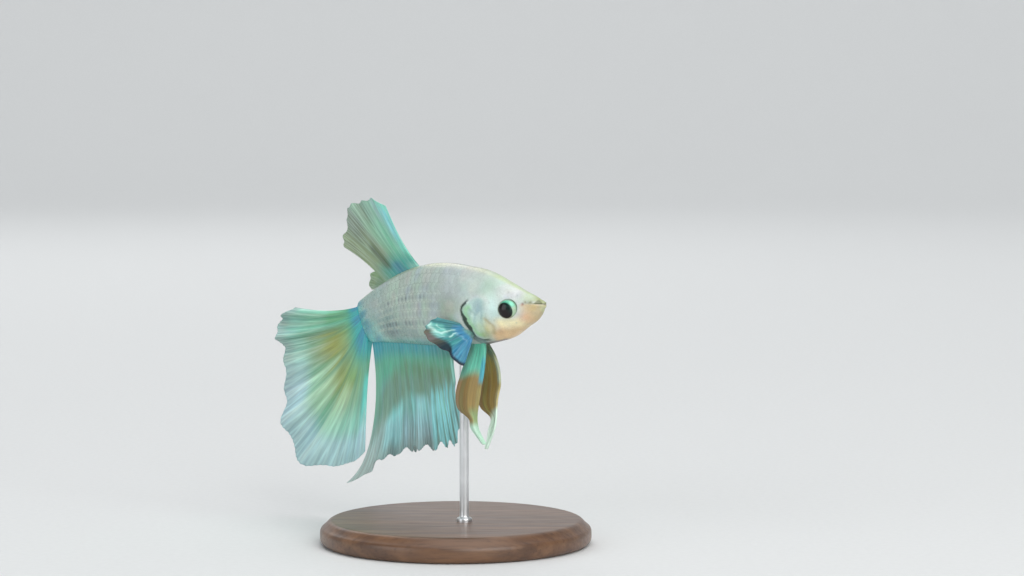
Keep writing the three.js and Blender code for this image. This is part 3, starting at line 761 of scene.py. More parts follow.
# %% Build the skin
def build_skin():
    """The skin as a grid of rings, closed by a point at the snout and one at the tail."""
    t = ring_places()[:, None]
    psi = np.linspace(0, TAU, SKIN_ROUND, endpoint=False)[None, :]
    phi = around(psi)
    s, a, b = body(t, phi)
    plain = pose(s, a, b)
    out = normals(plain)
    centre = pose(t * LENGTH, 0 * t, 0 * t)
    flip = np.sign(np.einsum("ijk,ijk->ij", out, plain - centre).mean())
    points = plain + out * flip * skin_relief(s, a)[..., None] * MM
    signed = np.where(psi > np.pi, psi - TAU, psi)
    colour = body_paint(t + 0 * phi, phi, signed + 0 * t)
    ends = [pose(0.02, -0.3, 0), pose(LENGTH - 0.15, 0, 0)]
    index = np.arange(points.shape[0] * SKIN_ROUND).reshape(-1, SKIN_ROUND)
    tips = index.size + np.array([0, 1])
    quads = cells(index, closed=True)
    tris = np.concatenate([fan(index[0][::-1], tips[0]), fan(index[-1], tips[1])])[:, ::-1]
    row = np.repeat(np.arange(SKIN_RINGS - 1), SKIN_ROUND)
    col = np.tile(np.arange(SKIN_ROUND), SKIN_RINGS - 1)
    v = np.stack([col, col + 1, col + 1, col], -1) / SKIN_ROUND
    u = t[np.stack([row, row, row + 1, row + 1], -1), 0]
    head_v = np.stack([np.arange(SKIN_ROUND) + k for k in (0.5, 1, 0)], -1) / SKIN_ROUND
    head_u = np.array([0, t[0, 0], t[0, 0]])[None, :] + 0 * head_v
    tail_u = np.array([1, t[-1, 0], t[-1, 0]])[None, :] + 0 * head_v
    uv = [np.stack([u, v], -1), np.concatenate([np.stack([x, head_v], -1) for x in (head_u, tail_u)])]
    points = np.concatenate([points.reshape(-1, 3), ends])
    colour = np.concatenate([colour.reshape(-1, 3), colour[0].mean(0)[None], colour[-1].mean(0)[None]])
    nodes = ["head", "lower_jaw", "gill_cover_right", "gill_cover_left", "trunk_front", "trunk_rear",
             "tail_stem"]
    return piece("body_skin", points, quads, tris, {"paint": colour}, uv, skin_finish.material, nodes)


build_skin()

# %% [markdown]
# ## The coat of scales
# Each scale is a thin plate rooted in the skin, with its rounded hind edge lying over the roots of the
# next ones, in rows that are set half a step apart.  A bump could suggest them, but the outline and the
# fine shadow of each rim would be missing.  One small template, a square grid pressed into a disc,
# serves them all: its two directions are turned into steps along the body and round it, so every scale
# follows the lie of the flank.  The whole coat is one mesh, made as one array.

# %% The template of one scale
SCALE_SIDE = 7  # points along one side of the template
SCALE_LENGTH = 1.85  # root to hind edge
SCALE_WIDTH = 1.2  # against the distance between rows
SCALE_THICK = 0.04
LAST_ROOT = 0.968  # the coat's last roots and the end of its last scales, in body lengths
LAST_EDGE = 0.985
PATCH = 0.0015  # half the side of a scale's own place on the OFBake map


def scale_template():
    """A square grid pressed into a unit disc: x keeps x times the root of 1 - y squared / 2, and so on."""
    x, y = np.meshgrid(np.linspace(-1, 1, SCALE_SIDE), np.linspace(-1, 1, SCALE_SIDE), indexing="ij")
    return (x * np.sqrt(1 - y * y / 2)).ravel(), (y * np.sqrt(1 - x * x / 2)).ravel()


def scale_roots():
    """t and psi of every scale's root: rows evenly round the body, each second row half a step behind,
    kept where the coat is."""
    row = np.arange(ROWS)[None, :]
    step = np.arange(int(40 / SCALE_PITCH))[:, None]
    t = (COAT_FROM + (step + 0.5 * (row % 2)) * SCALE_PITCH) / LENGTH
    psi = (row + 0.5) * TAU / ROWS + 0 * t
    psi = np.where(psi > np.pi, psi - TAU, psi)
    s, a, _ = body(t, around(psi))
    keep = (s > coat_front(a) - 0.2) & (t < LAST_ROOT)
    return t[keep], psi[keep]


root_t, root_psi = scale_roots()
print(len(root_t), "scales")

# %% Grow the coat
def skin_place(t, psi):
    """Places on the plain body with the outward normal, by small steps in both directions."""
    e = 0.002
    at = [pose(*body(t + dt, around(psi + dp))) for dt, dp in ((0, 0), (e, 0), (0, e))]
    n = np.cross(at[2] - at[0], at[1] - at[0])
    centre = pose(t * LENGTH, 0 * t, 0 * t)
    n *= np.sign((n * (at[0] - centre)).sum(-1, keepdims=True))
    return at[0], n / np.linalg.norm(n, axis=-1, keepdims=True)


def build_scales():
    """Every scale's back and rim: lifted evenly from root to hind edge, a little domed, and thinner than
    a sheet of paper at the rim, whose edge is crisp.  The paint gives it painted shade along the hind
    rim that fades in from front to rear, and paints the rim's walls lighter against their shade."""
    x, y = scale_template()
    t0, psi0 = root_t[:, None], root_psi[:, None]
    length = SCALE_LENGTH * (0.82 + 0.18 * smooth((0.98 - t0) / 0.12))
    t = np.minimum(t0 + (x + 1) / 2 * length / LENGTH, LAST_EDGE)
    psi = psi0 + y * SCALE_WIDTH / 2 * TAU / ROWS
    base, out = skin_place(t, psi)
    s0, a0, _ = body(t0, around(psi0))
    grown = smooth((s0 - coat_front(a0)) / 15) * smooth((0.99 - t0) / 0.06)
    vary = grain(t0 * 611.0, psi0 * 53.0, 9)
    lift = (0.027 + 0.028 * grown) * (0.93 + 0.14 * vary)
    edge = np.clip(x * x + y * y, 0, 1)
    sunk = BARE_DEPTH + (COAT_DEPTH - BARE_DEPTH) * coated(s0, a0) + 0.02
    high = lift * (x + 1) / 2 + 0.03 * (1 - edge) * grown - sunk
    back = base + out * high[..., None] * MM
    under = base + out * (high - SCALE_THICK)[..., None] * MM
    square = np.arange(x.size).reshape(SCALE_SIDE, SCALE_SIDE)
    rim = rim_of(square)
    points = np.concatenate([back, under[:, rim]], 1)
    low = x.size + np.arange(rim.size)
    wall = np.stack([rim, np.roll(rim, -1), np.roll(low, -1), low], -1)
    half = rim.size // 2
    across = np.stack([low[:half - 1], low[1:half], low[::-1][1:half], low[::-1][:half - 1]], -1)
    top = cells(square)[:, ::-1]
    quads = np.concatenate([top, wall, across])
    stride = points.shape[1] * np.arange(len(root_t))
    quads_all = (quads[None] + stride[:, None, None]).reshape(-1, 4)
    colour = body_paint(t, around(psi), psi)
    # Painted shade: a soft dark line along each scale's hind rim, faint at the front and stronger to the
    # rear.
    outline = smooth((edge - 0.55) / 0.4) * smooth((x + 0.2) / 0.5) * (0.2 + 0.8 * grown)
    colour = wash(colour, ink(92, 120, 120), 0.48 * outline)
    colour = wash(colour, ink(132, 152, 174), 0.16 * hill(edge - 0.25, 0.3) * smooth(x / 0.5 + 0.6) * grown)
    colour = colour * (0.93 + 0.14 * vary)[..., None]
    # Painted light: the rim walls are painted 1.3 times lighter, to offset the shade they turn to.
    colour = np.concatenate([colour, 1.3 * colour[:, rim]], 1)
    xs = np.concatenate([x, x[rim]])
    ys = np.concatenate([y, y[rim]])
    patch = np.stack([t0 + xs * PATCH, (psi0 / TAU) % 1 + ys * PATCH], -1).reshape(-1, 2)
    uv = [patch[quads_all], np.zeros((0, 3, 2))]
    coat = piece("body_scales", points, quads_all, None, {"paint": colour}, uv, scale_finish.material,
                 [])
    on_rim = np.zeros(points.shape[:2], bool)
    on_rim[:, rim] = True
    ends = np.empty(2 * len(coat.data.edges), int)
    coat.data.edges.foreach_get("vertices", ends)
    crisp = on_rim.ravel()[ends.reshape(-1, 2)].all(1)
    coat.data.edges.foreach_set("use_edge_sharp", crisp)
    print(int(crisp.sum()), "crisp edges")


build_scales()

# %% [markdown]
# ## The eyes
# A fish's eye has no lids to speak of: a slightly flattened ball with a wide black pupil that bulges
# through the iris, and a metallic iris, turquoise above and in front, silver elsewhere.  A plain sphere
# with a painted pupil would look flat in a side light.  This ball is a surface of revolution about the
# direction it looks in, with the pupil's bulge and the iris's fine ribs as real form; the pupil sits a
# little behind its middle.

# %% Eye finish
eye_finish = Tree("wet_eye", Roughness=0.35, Specular_IOR_Level=0.15, Coat_Weight=0.5, Coat_Roughness=0.04)
fibres = eye_finish.ramp(eye_finish.noise(9000, 2), 0.88, 1.12)
eye_paint = eye_finish.tint(eye_finish.value("paint", "Color"), fibres)
eye_finish.set(eye_finish.shader, {"Base Color": eye_paint})
print("eye finish:", eye_finish.material.name)

# %% Measures of an eye
EYE_RADIUS = 1.6
EYE_FLAT = 0.62  # the ball's depth against its width
PUPIL = 1.24
PUPIL_BULGE = 0.05
PUPIL_AT = (-0.2, -0.06)  # forward and up from the ball's middle, so a little behind and below it
PUPIL_LEAN = math.radians(50)  # its long axis runs down and forward
print("the pupil is", 2 * PUPIL, "mm wide in a ball of", 2 * EYE_RADIUS, "mm")

# %% Where an eye sits
def eye_frame(side):
    """The eye's middle, its forward direction, its upward direction and the direction it looks in."""
    s, a = EYE_AT
    out = side * (flank(s / LENGTH, a) - 0.5)
    centre = pose(s, a, out)
    turn = math.radians(12)

    def toward(ds, da, db):
        """The unit direction of a small step in fish space."""
        d = pose(s + ds, a + da, out + db) - centre
        return d / np.linalg.norm(d)

    look = toward(-0.1 * math.sin(turn), 0, 0.1 * side * math.cos(turn))
    up = toward(0, 0.1, 0)
    front = np.cross(up, look) * side
    return centre, front, up, look


print("the right eye looks along", np.round(eye_frame(1)[3], 2).tolist())

# %% Build both eyes
def build_eye(side, name, node):
    """Rings from the middle of the pupil round to the back of the ball; x is forward, y is up."""
    rings, around_it = 72, 96
    polar = np.linspace(0.0, np.pi, rings + 2)[1:-1, None]
    turn = np.linspace(0, TAU, around_it, endpoint=False)[None, :]
    r = EYE_RADIUS * np.sin(polar) + 0 * turn
    x, y = r * np.cos(turn), r * np.sin(turn)
    dx, dy = x - PUPIL_AT[0], y - PUPIL_AT[1]
    along = dx * math.cos(PUPIL_LEAN) - dy * math.sin(PUPIL_LEAN)
    across = dx * math.sin(PUPIL_LEAN) + dy * math.cos(PUPIL_LEAN)
    from_pupil = np.hypot(0.95 * along, 1.1 * across)
    before = smooth((np.pi / 2 - polar) / 0.3)
    z = EYE_RADIUS * EYE_FLAT * np.cos(polar) + 0 * turn
    bulge = PUPIL_BULGE * np.sqrt(np.clip(1 - (from_pupil / PUPIL) ** 2, 0, 1))
    ribs = 0.006 * np.sin(turn * 42) * window(from_pupil, PUPIL, 1.6, 0.08)
    z = z + before * (bulge + ribs)
    upper = smooth((np.cos(turn - math.radians(78)) - 0.35) / 0.5)
    colour = np.broadcast_to(ink(150, 150, 126), r.shape + (3,))
    ahead_of = smooth((np.cos(turn - math.radians(20)) - 0.1) / 0.5)
    colour = wash(colour, ink(160, 186, 158), ahead_of)
    colour = wash(colour, ink(104, 194, 160), upper)
    gleam = hill(turn - math.radians(50), 0.36) * smooth((from_pupil - PUPIL) / 0.1)
    colour = wash(colour, ink(148, 232, 200), 0.85 * gleam * (1 - smooth((r - 1.44) / 0.1)))
    colour = wash(colour, ink(54, 128, 108), 0.6 * upper * hill(from_pupil - PUPIL - 0.06, 0.09))
    colour = wash(colour, ink(136, 156, 136), 0.75 * smooth((r - 1.42) / 0.12))
    # The black pupil shades to dark teal towards one side: a painted soft reflection.
    pupil_with_reflection = mix(ink(12, 6, 7), ink(8, 40, 34), smooth((across + 0.1) / 1.2)[..., None])
    colour = wash(colour, pupil_with_reflection, smooth((PUPIL - from_pupil) / 0.09 + 0.5))
    colour = wash(colour, ink(170, 176, 170), smooth((polar - np.pi / 2) / 0.2) + 0 * r)
    centre, front, up, look = eye_frame(side)
    points = centre + (x[..., None] * front + y[..., None] * up + z[..., None] * look) * MM
    deep = EYE_RADIUS * EYE_FLAT
    poles = [centre + look * (deep + PUPIL_BULGE) * MM, centre - look * deep * MM]
    index = np.arange(r.size).reshape(r.shape)
    tips = index.size + np.array([0, 1])
    quads = cells(index, closed=True)[:, ::-1]
    tris = np.concatenate([fan(index[0], tips[0]), fan(index[-1][::-1], tips[1])])
    points = np.concatenate([points.reshape(-1, 3), poles])
    colour = np.concatenate([colour.reshape(-1, 3), [colour[0, 0], colour[-1, 0]]])
    face = np.where(polar < np.pi / 2, 0.25, 0.75)
    spread = np.minimum(polar, np.pi - polar) / np.pi * 0.45
    flat = np.stack([face + spread * np.cos(turn), 0.5 + spread * np.sin(turn)], -1).reshape(-1, 2)
    flat = np.concatenate([flat, [[0.25, 0.5], [0.75, 0.5]]])
    uv = [flat[quads], flat[tris]]
    piece(name, points, quads, tris, {"paint": colour}, uv, eye_finish.material, [node])


build_eye(1, "right_eye", "eye_right")
build_eye(-1, "left_eye", "eye_left")

# %% [markdown]
# ## How a fin is built
# A fin is a fan of bony rays joined by a web thinner than a leaf.  Each ray forks on its way out, once
# or twice, so the margin is fringed with fine tips, and the web between them folds like a pleated
# curtain.  `comb` measures how near a point is to a ray; everything else - the ribs' relief, the pleats,
# the scallops of the margin, the paint and how clear the web is - reads that one number.

# %% Rays, pleats and margins
FIRST_FORK = 0.38  # how far out a ray parts into two
SECOND_FORK = 0.72  # and each of those into two again


def comb(u, v, count):
    """1 on a ray and 0 between rays: a bell of the distance to the nearest ray or branch.  Rays stand at
    whole numbers of u times count, and part at the two forks."""
    cell = u * count - np.round(u * count)
    fork = 0.23 * smooth((v - FIRST_FORK) / 0.4)
    twig = 0.115 * smooth((v - SECOND_FORK) / 0.3)
    distance = np.abs(np.abs(np.abs(cell) - fork) - twig)
    return hill(distance, mix(0.24, 0.075, smooth(v * 1.15)))


def bend(angle, length, v):
    """v of the way along a ray of that length that leaves at that angle, in degrees."""
    return length * v * np.cos(np.radians(angle)), length * v * np.sin(np.radians(angle))


margin = np.diff(np.sign(np.diff(comb(np.linspace(0, 1, 4001), 1.0, 14))))
print("ribs at the margin of a fin of 14 rays:", int((margin < 0).sum()))

# %% The two faces of a fin
THIN = 0.03  # half the thickness that a fin's very edge comes down towards


def fin_sheet(ray, count, across, along, fray, pleat, web, root, rib):
    """Front and back points of a fin, with u, v and the comb.  The mid surface is the fan of `count` rays,
    a grid of `across` by `along` cells.  Pleats push it out and in along its normal.  Half the thickness,
    `root` at the body and `web` at the margin, and the ribs, `rib` high, stand on both sides.  The margin
    falls back between rays by the share `fray`, in soft scallops with a fine fringe on them."""
    u = np.linspace(0, 1, across + 1)[None, :]
    v = np.linspace(0, 1, along + 1)[:, None] ** 0.9
    ribs = comb(u, v, count)
    scallop = 0.5 - 0.5 * np.cos(TAU * (u * count * 0.6 + 0.8 * grain(u * count / 3, 1.0, count)))
    fringe = 1 - comb(u, 1.0 + 0 * u, count)
    short = mix(*fray, u) * (0.75 * scallop + 0.1 * fringe + 0.15 * grain(u * count * 1.1, 2.0, count))
    reach = v * (1 - short * smooth((v - 0.6) / 0.4))
    middle = pose(*ray(u, reach))
    out = normals(middle, closed=False)
    fold = pleat * v * np.cos(np.pi * u * count) + 0.4 * pleat * v * (grain(u * count, v * 3, 4) - 0.5)
    middle = middle + out * (fold * MM)[..., None]
    half = (web + (root - web) * (1 - v) ** 3) / 2 + rib * ribs * (1 - 0.55 * v)
    border = smooth((1 - v) / 0.03) * smooth(u / 0.004) * smooth((1 - u) / 0.004)
    half = THIN + (half - THIN) * (0.25 + 0.75 * border)
    step = out * (half * MM)[..., None]
    return middle + step, middle - step, u + 0 * v, v + 0 * u, ribs


def bundles(u, v, count, seed, low=0.42, high=0.72):
    """Where the web's folds catch the light: soft long streaks along the rays, 0 to 1, that wander a
    little from root to margin."""
    drift = u * count + 0.5 * grain(u * 5, v * 2.2, seed + 1)
    return smooth((grain(drift, v * 1.1 + 7, seed) - low) / (high - low))


print("a ray of 20 mm at 45 degrees reaches", np.round(bend(45, 20, 1.0), 1).tolist())

# %% Close a fin at its rim
def close_sheet(front, back, shift):
    """Quads of both faces and of the rim between them, and the points' UVs on two halves of the map."""
    rows, cols = front.shape[:2]
    top = np.arange(rows * cols).reshape(rows, cols) + shift
    low = top + rows * cols
    rim_top = rim_of(top)
    rim_low = rim_top + rows * cols
    rim = np.stack([rim_top, rim_low, np.roll(rim_low, -1), np.roll(rim_top, -1)], -1)
    quads = np.concatenate([cells(top), cells(low)[:, ::-1], rim])
    u, v = np.meshgrid(np.linspace(0, 1, cols), np.linspace(0, 1, rows))
    flat = [np.stack([0.01 + 0.47 * u + side * 0.5, 0.02 + 0.96 * v], -1).reshape(-1, 2) for side in (0, 1)]
    return np.concatenate([front.reshape(-1, 3), back.reshape(-1, 3)]), quads, np.concatenate(flat)


flat_sheet = np.zeros((3, 4, 3))
print("a sheet of 3 by 4 points closes with", len(close_sheet(flat_sheet, flat_sheet, 0)[1]), "quads")

# %% [markdown]
# ## The fins' finish
# The web is clear at the margin and cloudy near the body, so the paint comes with an amount of opacity.
# Fine streaks along the rays break the colour up.  Noise in the room's directions would cut across the
# rays, so the streaks read the fin's own directions, u across the rays and v along them, and stay with
# the rays wherever the fin turns.  A thin film gives the blue-green flash of the silver cells.

# %% Fin finish
def fin_finish(name, roughness, film):
    """Paint with long fine streaks, wet gloss and a clear web."""
    tree = Tree(name, Roughness=roughness, Coat_Weight=0.35, Coat_Roughness=0.2,
                Thin_Film_Thickness=film, Thin_Film_IOR=1.36)
    lie = tree.add("CombineXYZ", {"X": tree.value("across"), "Y": tree.value("outward")}).outputs[0]
    fine = tree.add("Mapping", {"Vector": lie, "Scale": (150, 5, 1)}).outputs["Vector"]
    wide = tree.add("Mapping", {"Vector": lie, "Scale": (34, 2.4, 1)}).outputs["Vector"]
    streak = tree.ramp(tree.noise(1.0, 2, fine), 0.86, 1.14)
    broad = tree.ramp(tree.noise(1.0, 3, wide), 0.88, 1.12)
    paint = tree.tint(tree.value("paint", "Color"), tree.sum(streak, broad, "MULTIPLY"))
    normal = tree.bump(tree.noise(1.0, 2, fine), 0.4, 0.00004)
    opacity = tree.sum(tree.value("opacity"), tree.ramp(tree.noise(1.0, 2, wide), -0.04, 0.04))
    tree.set(tree.shader, {"Base Color": paint, "Normal": normal, "Alpha": opacity})
    return tree


blue_fin = fin_finish("turquoise_fin", 0.34, 260.0)
breast_fin = fin_finish("breast_fin_blue", 0.28, 300.0)
brown_fin = fin_finish("belly_fin_brown", 0.4, 0.0)
print("fin finishes:", *(finish.material.name for finish in (blue_fin, breast_fin, brown_fin)))

# %% One object from a fin's sheets
def fin_piece(name, sheets, finish, node):
    """Joins one or more closed sheets into one object.  Each sheet gives its points, u, v, paint and
    opacity."""
    points, quads, flats, paints, clear, us, vs = [], [], [], [], [], [], []
    shift = 0
    for k, (front, back, u, v, colour, opacity) in enumerate(sheets):
        p, q, flat = close_sheet(front, back, shift)
        shift += len(p)
        points.append(p)
        quads.append(q)
        flats.append((flat + [0, k]) / [1, len(sheets)])
        paints += [colour.reshape(-1, 3)] * 2
        clear += [opacity.ravel()] * 2
        us += [u.ravel()] * 2
        vs += [v.ravel()] * 2
    points, quads, flats = (np.concatenate(x) for x in (points, quads, flats))
    values = {"paint": np.concatenate(paints), "opacity": np.concatenate(clear),
              "across": np.concatenate(us), "outward": np.concatenate(vs)}
    uv = [flats[quads], np.zeros((0, 3, 2))]
    piece(name, points, quads, None, values, uv, finish.material, [node])


print("a fin carries its paint, its opacity and its two directions")

# %% [markdown]
# ## The tail fin
# The tail spreads from the end of the stem like a hand fan, level at the top and steep below.  It is
# deep blue at the root, warm ochre in the middle where the blue cells are thin, mint green beyond, and
# pale sky blue at the margin, with a bright turquoise front edge.  Two curves, the angle and the length
# of each ray, draw its outline, so one ray can be made longer without touching the others.

# %% Rays of the tail fin
caudal_angle = curve((0, 10.8), (0.1, 6.3), (0.2, 0), (0.3, -3.8), (0.4, -9.9), (0.5, -21.3), (0.6, -30.4),
                     (0.7, -38), (0.8, -46.9), (0.88, -55.2), (0.94, -63.1), (1, -70.8))
caudal_length = curve((0, 15), (0.1, 18.3), (0.2, 19.8), (0.3, 19.8), (0.4, 19.7), (0.5, 22.9), (0.6, 26.3),
                      (0.7, 28.4), (0.8, 28.2), (0.88, 24.9), (0.94, 22.8), (1, 19.2))


def caudal_ray(u, v):
    """Rays from a slanting root, a little bowed, waving out and in five and a half times."""
    ds, da = bend(caudal_angle(u) - 12 * (1 - u) * (1 - v), caudal_length(u), v)
    return 47.6 - 2.1 * u + ds, 3 - 6.1 * u + da, 0.8 * v**1.5 * np.sin(TAU * 5.5 * u)


print("longest tail ray", round(float(caudal_length(0.75)), 1), "mm")

# %% Paint of the tail fin
def caudal_paint(u, v, ribs):
    """Washes from the root out: blue, green, ochre, a pale margin; then the bundles of rays that catch
    the light, the grey web behind and the cyan front edge."""
    colour = np.broadcast_to(ink(134, 196, 170), u.shape + (3,))
    colour = wash(colour, ink(110, 180, 136), 0.9 * window(v, 0.16, 0.44, 0.12) * smooth((0.6 - u) / 0.25))
    colour = wash(colour, ink(144, 196, 186), 0.9 * smooth((v - 0.6) / 0.25))
    grey = window(v, 0.45, 0.66, 0.16) * window(u, 0.22, 0.42, 0.1)
    colour = wash(colour, ink(122, 156, 138), 0.8 * grey)
    ochre = hill(v - 0.42 + 0.1 * (u - 0.5), 0.2) * window(u, 0.32, 0.78, 0.16)
    colour = wash(colour, ink(156, 160, 80), 0.95 * ochre * (0.68 + 0.32 * grain(u * 26, v * 3, 2)))
    colour = wash(colour, ink(112, 176, 122), 0.6 * hill(v - 0.3, 0.1) * smooth((u - 0.6) / 0.15))
    streak = bundles(u, v, 30, 6)
    late = window(v, 0.45, 0.85, 0.14) * smooth((u - 0.36) / 0.15)
    colour = wash(colour, ink(186, 232, 200), 0.55 * streak * late)
    early = window(v, 0.25, 0.9, 0.15) * smooth((0.34 - u) / 0.2)
    colour = wash(colour, ink(150, 228, 204), 0.6 * streak * early)
    colour = wash(colour, ink(172, 222, 220), 0.6 * bundles(u, v, 24, 46) * smooth((v - 0.72) / 0.16))
    gaps = bundles(u, v, 26, 56)
    colour = wash(colour, ink(86, 152, 128), 0.45 * gaps * window(v, 0.3, 0.92, 0.15))
    colour = wash(colour, ink(150, 220, 204), 0.65 * smooth((u - 0.7) / 0.14) * smooth((v - 0.46) / 0.24))
    teal = 1 - smooth((v - 0.14) / 0.16)
    colour = wash(colour, ink(80, 172, 146), 0.9 * teal)
    blue = 1 - smooth((v - 0.06) / 0.15)
    colour = wash(colour, ink(58, 180, 184), blue)
    colour = wash(colour, ink(58, 130, 180), 0.6 * blue * bundles(u, v, 20, 66))
    rim = smooth((u - 0.935) / 0.04) * smooth((v - 0.2) / 0.2)
    cyan = mix(ink(92, 224, 214), ink(170, 234, 236), smooth((v - 0.5) / 0.3)[..., None])
    colour = wash(colour, cyan, 0.8 * rim)
    colour = wash(colour, ink(132, 158, 156), 0.6 * smooth((v - 0.86) / 0.12) * smooth((0.7 - u) / 0.2))
    frosted = window(u, 0.5, 0.96, 0.1) * smooth((v - 0.68) / 0.16)
    colour = wash(colour, ink(186, 216, 240), 0.5 * frosted)
    colour = wash(colour, ink(138, 170, 178), 0.3 * smooth((v - 0.84) / 0.14))
    fine = grain(u * 90, v * 1.6, 16) - 0.5
    colour = colour * (1 + 0.16 * fine * smooth((v - 0.12) / 0.3))[..., None]
    return wash(colour, ink(216, 246, 232), 0.2 * ribs * smooth((v - 0.25) / 0.5))


print("ochre middle", np.round(caudal_paint(np.array([0.55]), np.array([0.42]), np.zeros(1)), 2))

# %% Build the tail fin
def build_caudal():
    """Fifteen rays, thick at the stem and clear towards the margin."""
    front, back, u, v, ribs = fin_sheet(caudal_ray, count=15, across=384, along=92, fray=(0.05, 0.04),
                                        pleat=0.22, web=0.12, root=1.1, rib=0.05)
    colour = caudal_paint(u, v, ribs)
    opacity = mix(1.0, 0.8, smooth((v - 0.5) / 0.5)) + 0.16 * ribs * smooth((v - 0.3) / 0.5)
    sheet = (front, back, u, v, colour, np.clip(opacity, 0, 1))
    fin_piece("tail_fin", [sheet], blue_fin, "fin_caudal")


build_caudal()

# %% [markdown]
# ## The anal fin
# The longest fin hangs from the belly like a curtain.  Its base is a dark teal band, its middle shows a
# smoky olive, and below the rays gather in bright sky-blue bundles with gaps between them; their
# brightness is partly painted light on the folds, and the gaps are painted shade.  A cloth
# simulation would hang it straight down; bent rays keep the backward sweep of a fish under way.  The
# front rays curl to the far side, and the last ones trail in a long point.

# %% Rays of the anal fin
anal_lean = curve((0, 1.5), (0.05, 1), (0.15, 6.5), (0.3, 7.6), (0.5, 10.3), (0.7, 12.3), (0.83, 17),
                  (0.93, 25.5), (1, 33.3))
anal_length = curve((0, 14.8), (0.05, 16.5), (0.15, 17.5), (0.3, 18.1), (0.5, 18.6), (0.7, 19.2),
                    (0.83, 20.4), (0.93, 23.4), (1, 26.8))
ANAL_FROM = 0.425  # where along the body its base begins and ends
ANAL_TO = 0.955


def anal_ray(u, v):
    """Rays from the belly line that hang straight down first and then lean back, waving five times;
    the front edge swells forward a little in its upper half."""
    t = mix(ANAL_FROM, ANAL_TO, u)
    root = section(t)[1] * 0.9
    curl = mix(0.085, 1, v) * v**0.33
    ds, da = bend(-90 + anal_lean(u) * curl, anal_length(u), v)
    wave = 0.75 * v**1.5 * np.sin(TAU * 5 * u)
    ds = ds - 0.75 * window(v, 0.16, 0.4, 0.16) * (1 - u) ** 10
    return t * LENGTH + slant(t, -root) + ds, -root + da, wave - 2.4 * v**2 * (1 - u) ** 1.5


print("its base is", round((ANAL_TO - ANAL_FROM) * LENGTH, 1), "mm long")

# %% Paint of the anal fin
def anal_paint(u, v, ribs):
    """Teal band with a painted shadow at its front, olive smoke, sky-blue bundles with painted light on
    their folds and painted shade in the gaps, a grey fringe, a pale trailing point.
    """
    colour = np.broadcast_to(ink(112, 172, 166), u.shape + (3,))
    colour = wash(colour, ink(88, 176, 150), 1 - smooth((v - 0.24) / 0.14))
    edge = 0.42 + 0.1 * grain(u * 9, 1.0, 10) + 0.14 * smooth((u - 0.62) / 0.3)
    smoke = window(v, edge - 0.2, edge - 0.03, 0.14) * (0.6 + 0.4 * bundles(u, v, 26, 11, 0.3, 0.8))
    smoke = smoke * smooth((u + 0.04) / 0.1) * mix(1, 0.5, smooth((u - 0.88) / 0.1))
    colour = wash(colour, ink(104, 138, 110), 0.72 * smoke)
    below = smooth((v - edge + 0.03 * grain(u * 60, 2.0, 18)) / 0.14)
    # The web's own sky blue, brightened by painted highlights where its folds catch the light.
    streak = bundles(u, v, 24, 12, 0.3, 0.62)
    colour = wash(colour, ink(148, 232, 230), 0.9 * below * streak * smooth((0.98 - v) / 0.16))
    mint = hill(u - 0.14, 0.07) * window(v, 0.5, 0.64, 0.08)
    colour = wash(colour, ink(150, 228, 208), 0.6 * mint)
    colour = wash(colour, ink(98, 132, 108), 0.55 * hill(u - 0.26, 0.05) * window(v, 0.28, 0.54, 0.08))
    # Painted light and shade of the front folds: bright bundles along the rays, painted shade in the gaps
    # between.
    pleat_light = 0.5 + 0.5 * np.cos(TAU * (u * 25 + 0.25 * grain(u * 7, v * 2, 14)))
    ragged = 0.46 + 0.08 * grain(u * 40, 3.0, 47)
    front = window(u, 0.02, 0.24, 0.05) * window(v, ragged, 0.97, 0.16)
    colour = wash(colour, ink(140, 228, 236), 0.8 * front * smooth(pleat_light * 1.8 + 0.1))
    gap = front * smooth((v - 0.5) / 0.3)
    colour = wash(colour, ink(78, 126, 122), 0.75 * gap * smooth(0.75 - pleat_light * 2.2))
    lit = smooth((0.022 - u) / 0.014) * window(v, 0.2, 0.4, 0.06)
    colour = wash(colour, ink(158, 232, 218), 0.9 * lit)
    grey = smooth((v - 0.7) / 0.16) * smooth((u - 0.24) / 0.1) * smooth((0.66 - u) / 0.1)
    colour = wash(colour, ink(130, 142, 136), 0.75 * grey * (1 - 0.6 * streak))
    middle = window(u, 0.08, 0.62, 0.08) * window(v, 0.54, 0.95, 0.1)
    colour = wash(colour, ink(168, 228, 240), 0.55 * middle * bundles(u, v, 34, 21, 0.5, 0.8))
    colour = wash(colour, ink(80, 138, 146), 0.4 * middle * bundles(u, v, 30, 29, 0.6, 0.85))
    lavender = window(u, 0.34, 0.8, 0.12) * smooth((v - 0.58) / 0.16)
    colour = wash(colour, ink(152, 192, 208), 0.42 * lavender)
    hem = smooth((v - 0.84) / 0.14) * smooth((u - 0.16) / 0.1) * (0.5 + 0.5 * grain(u * 34, v * 2, 48))
    colour = wash(colour, ink(126, 142, 136), 0.5 * hem)
    colour = wash(colour, ink(188, 206, 204), 0.85 * smooth((u - 0.8) / 0.12) * smooth((v - 0.5) / 0.3))
    colour = wash(colour, ink(108, 176, 148), 0.7 * smooth((u - 0.9) / 0.08) * (1 - smooth((v - 0.4) / 0.2)))
    band = 1 - smooth((v - 0.05) / 0.13)
    colour = wash(colour, ink(52, 156, 172), band * (0.8 + 0.2 * bundles(u, v, 20, 15)))
    # Painted shadow cast by the breast fin: the front of the fin's root darkened.
    colour = wash(colour, ink(40, 96, 92), 0.5 * smooth((0.3 - u) / 0.3) * (1 - smooth((v - 0.1) / 0.16)))
    fine = grain(u * 110, v * 1.4, 13) - 0.5
    colour = colour * (1 + 0.2 * fine * smooth((v - 0.12) / 0.3))[..., None]
    return wash(colour, ink(200, 242, 240), 0.2 * ribs * smooth((v - 0.3) / 0.4))


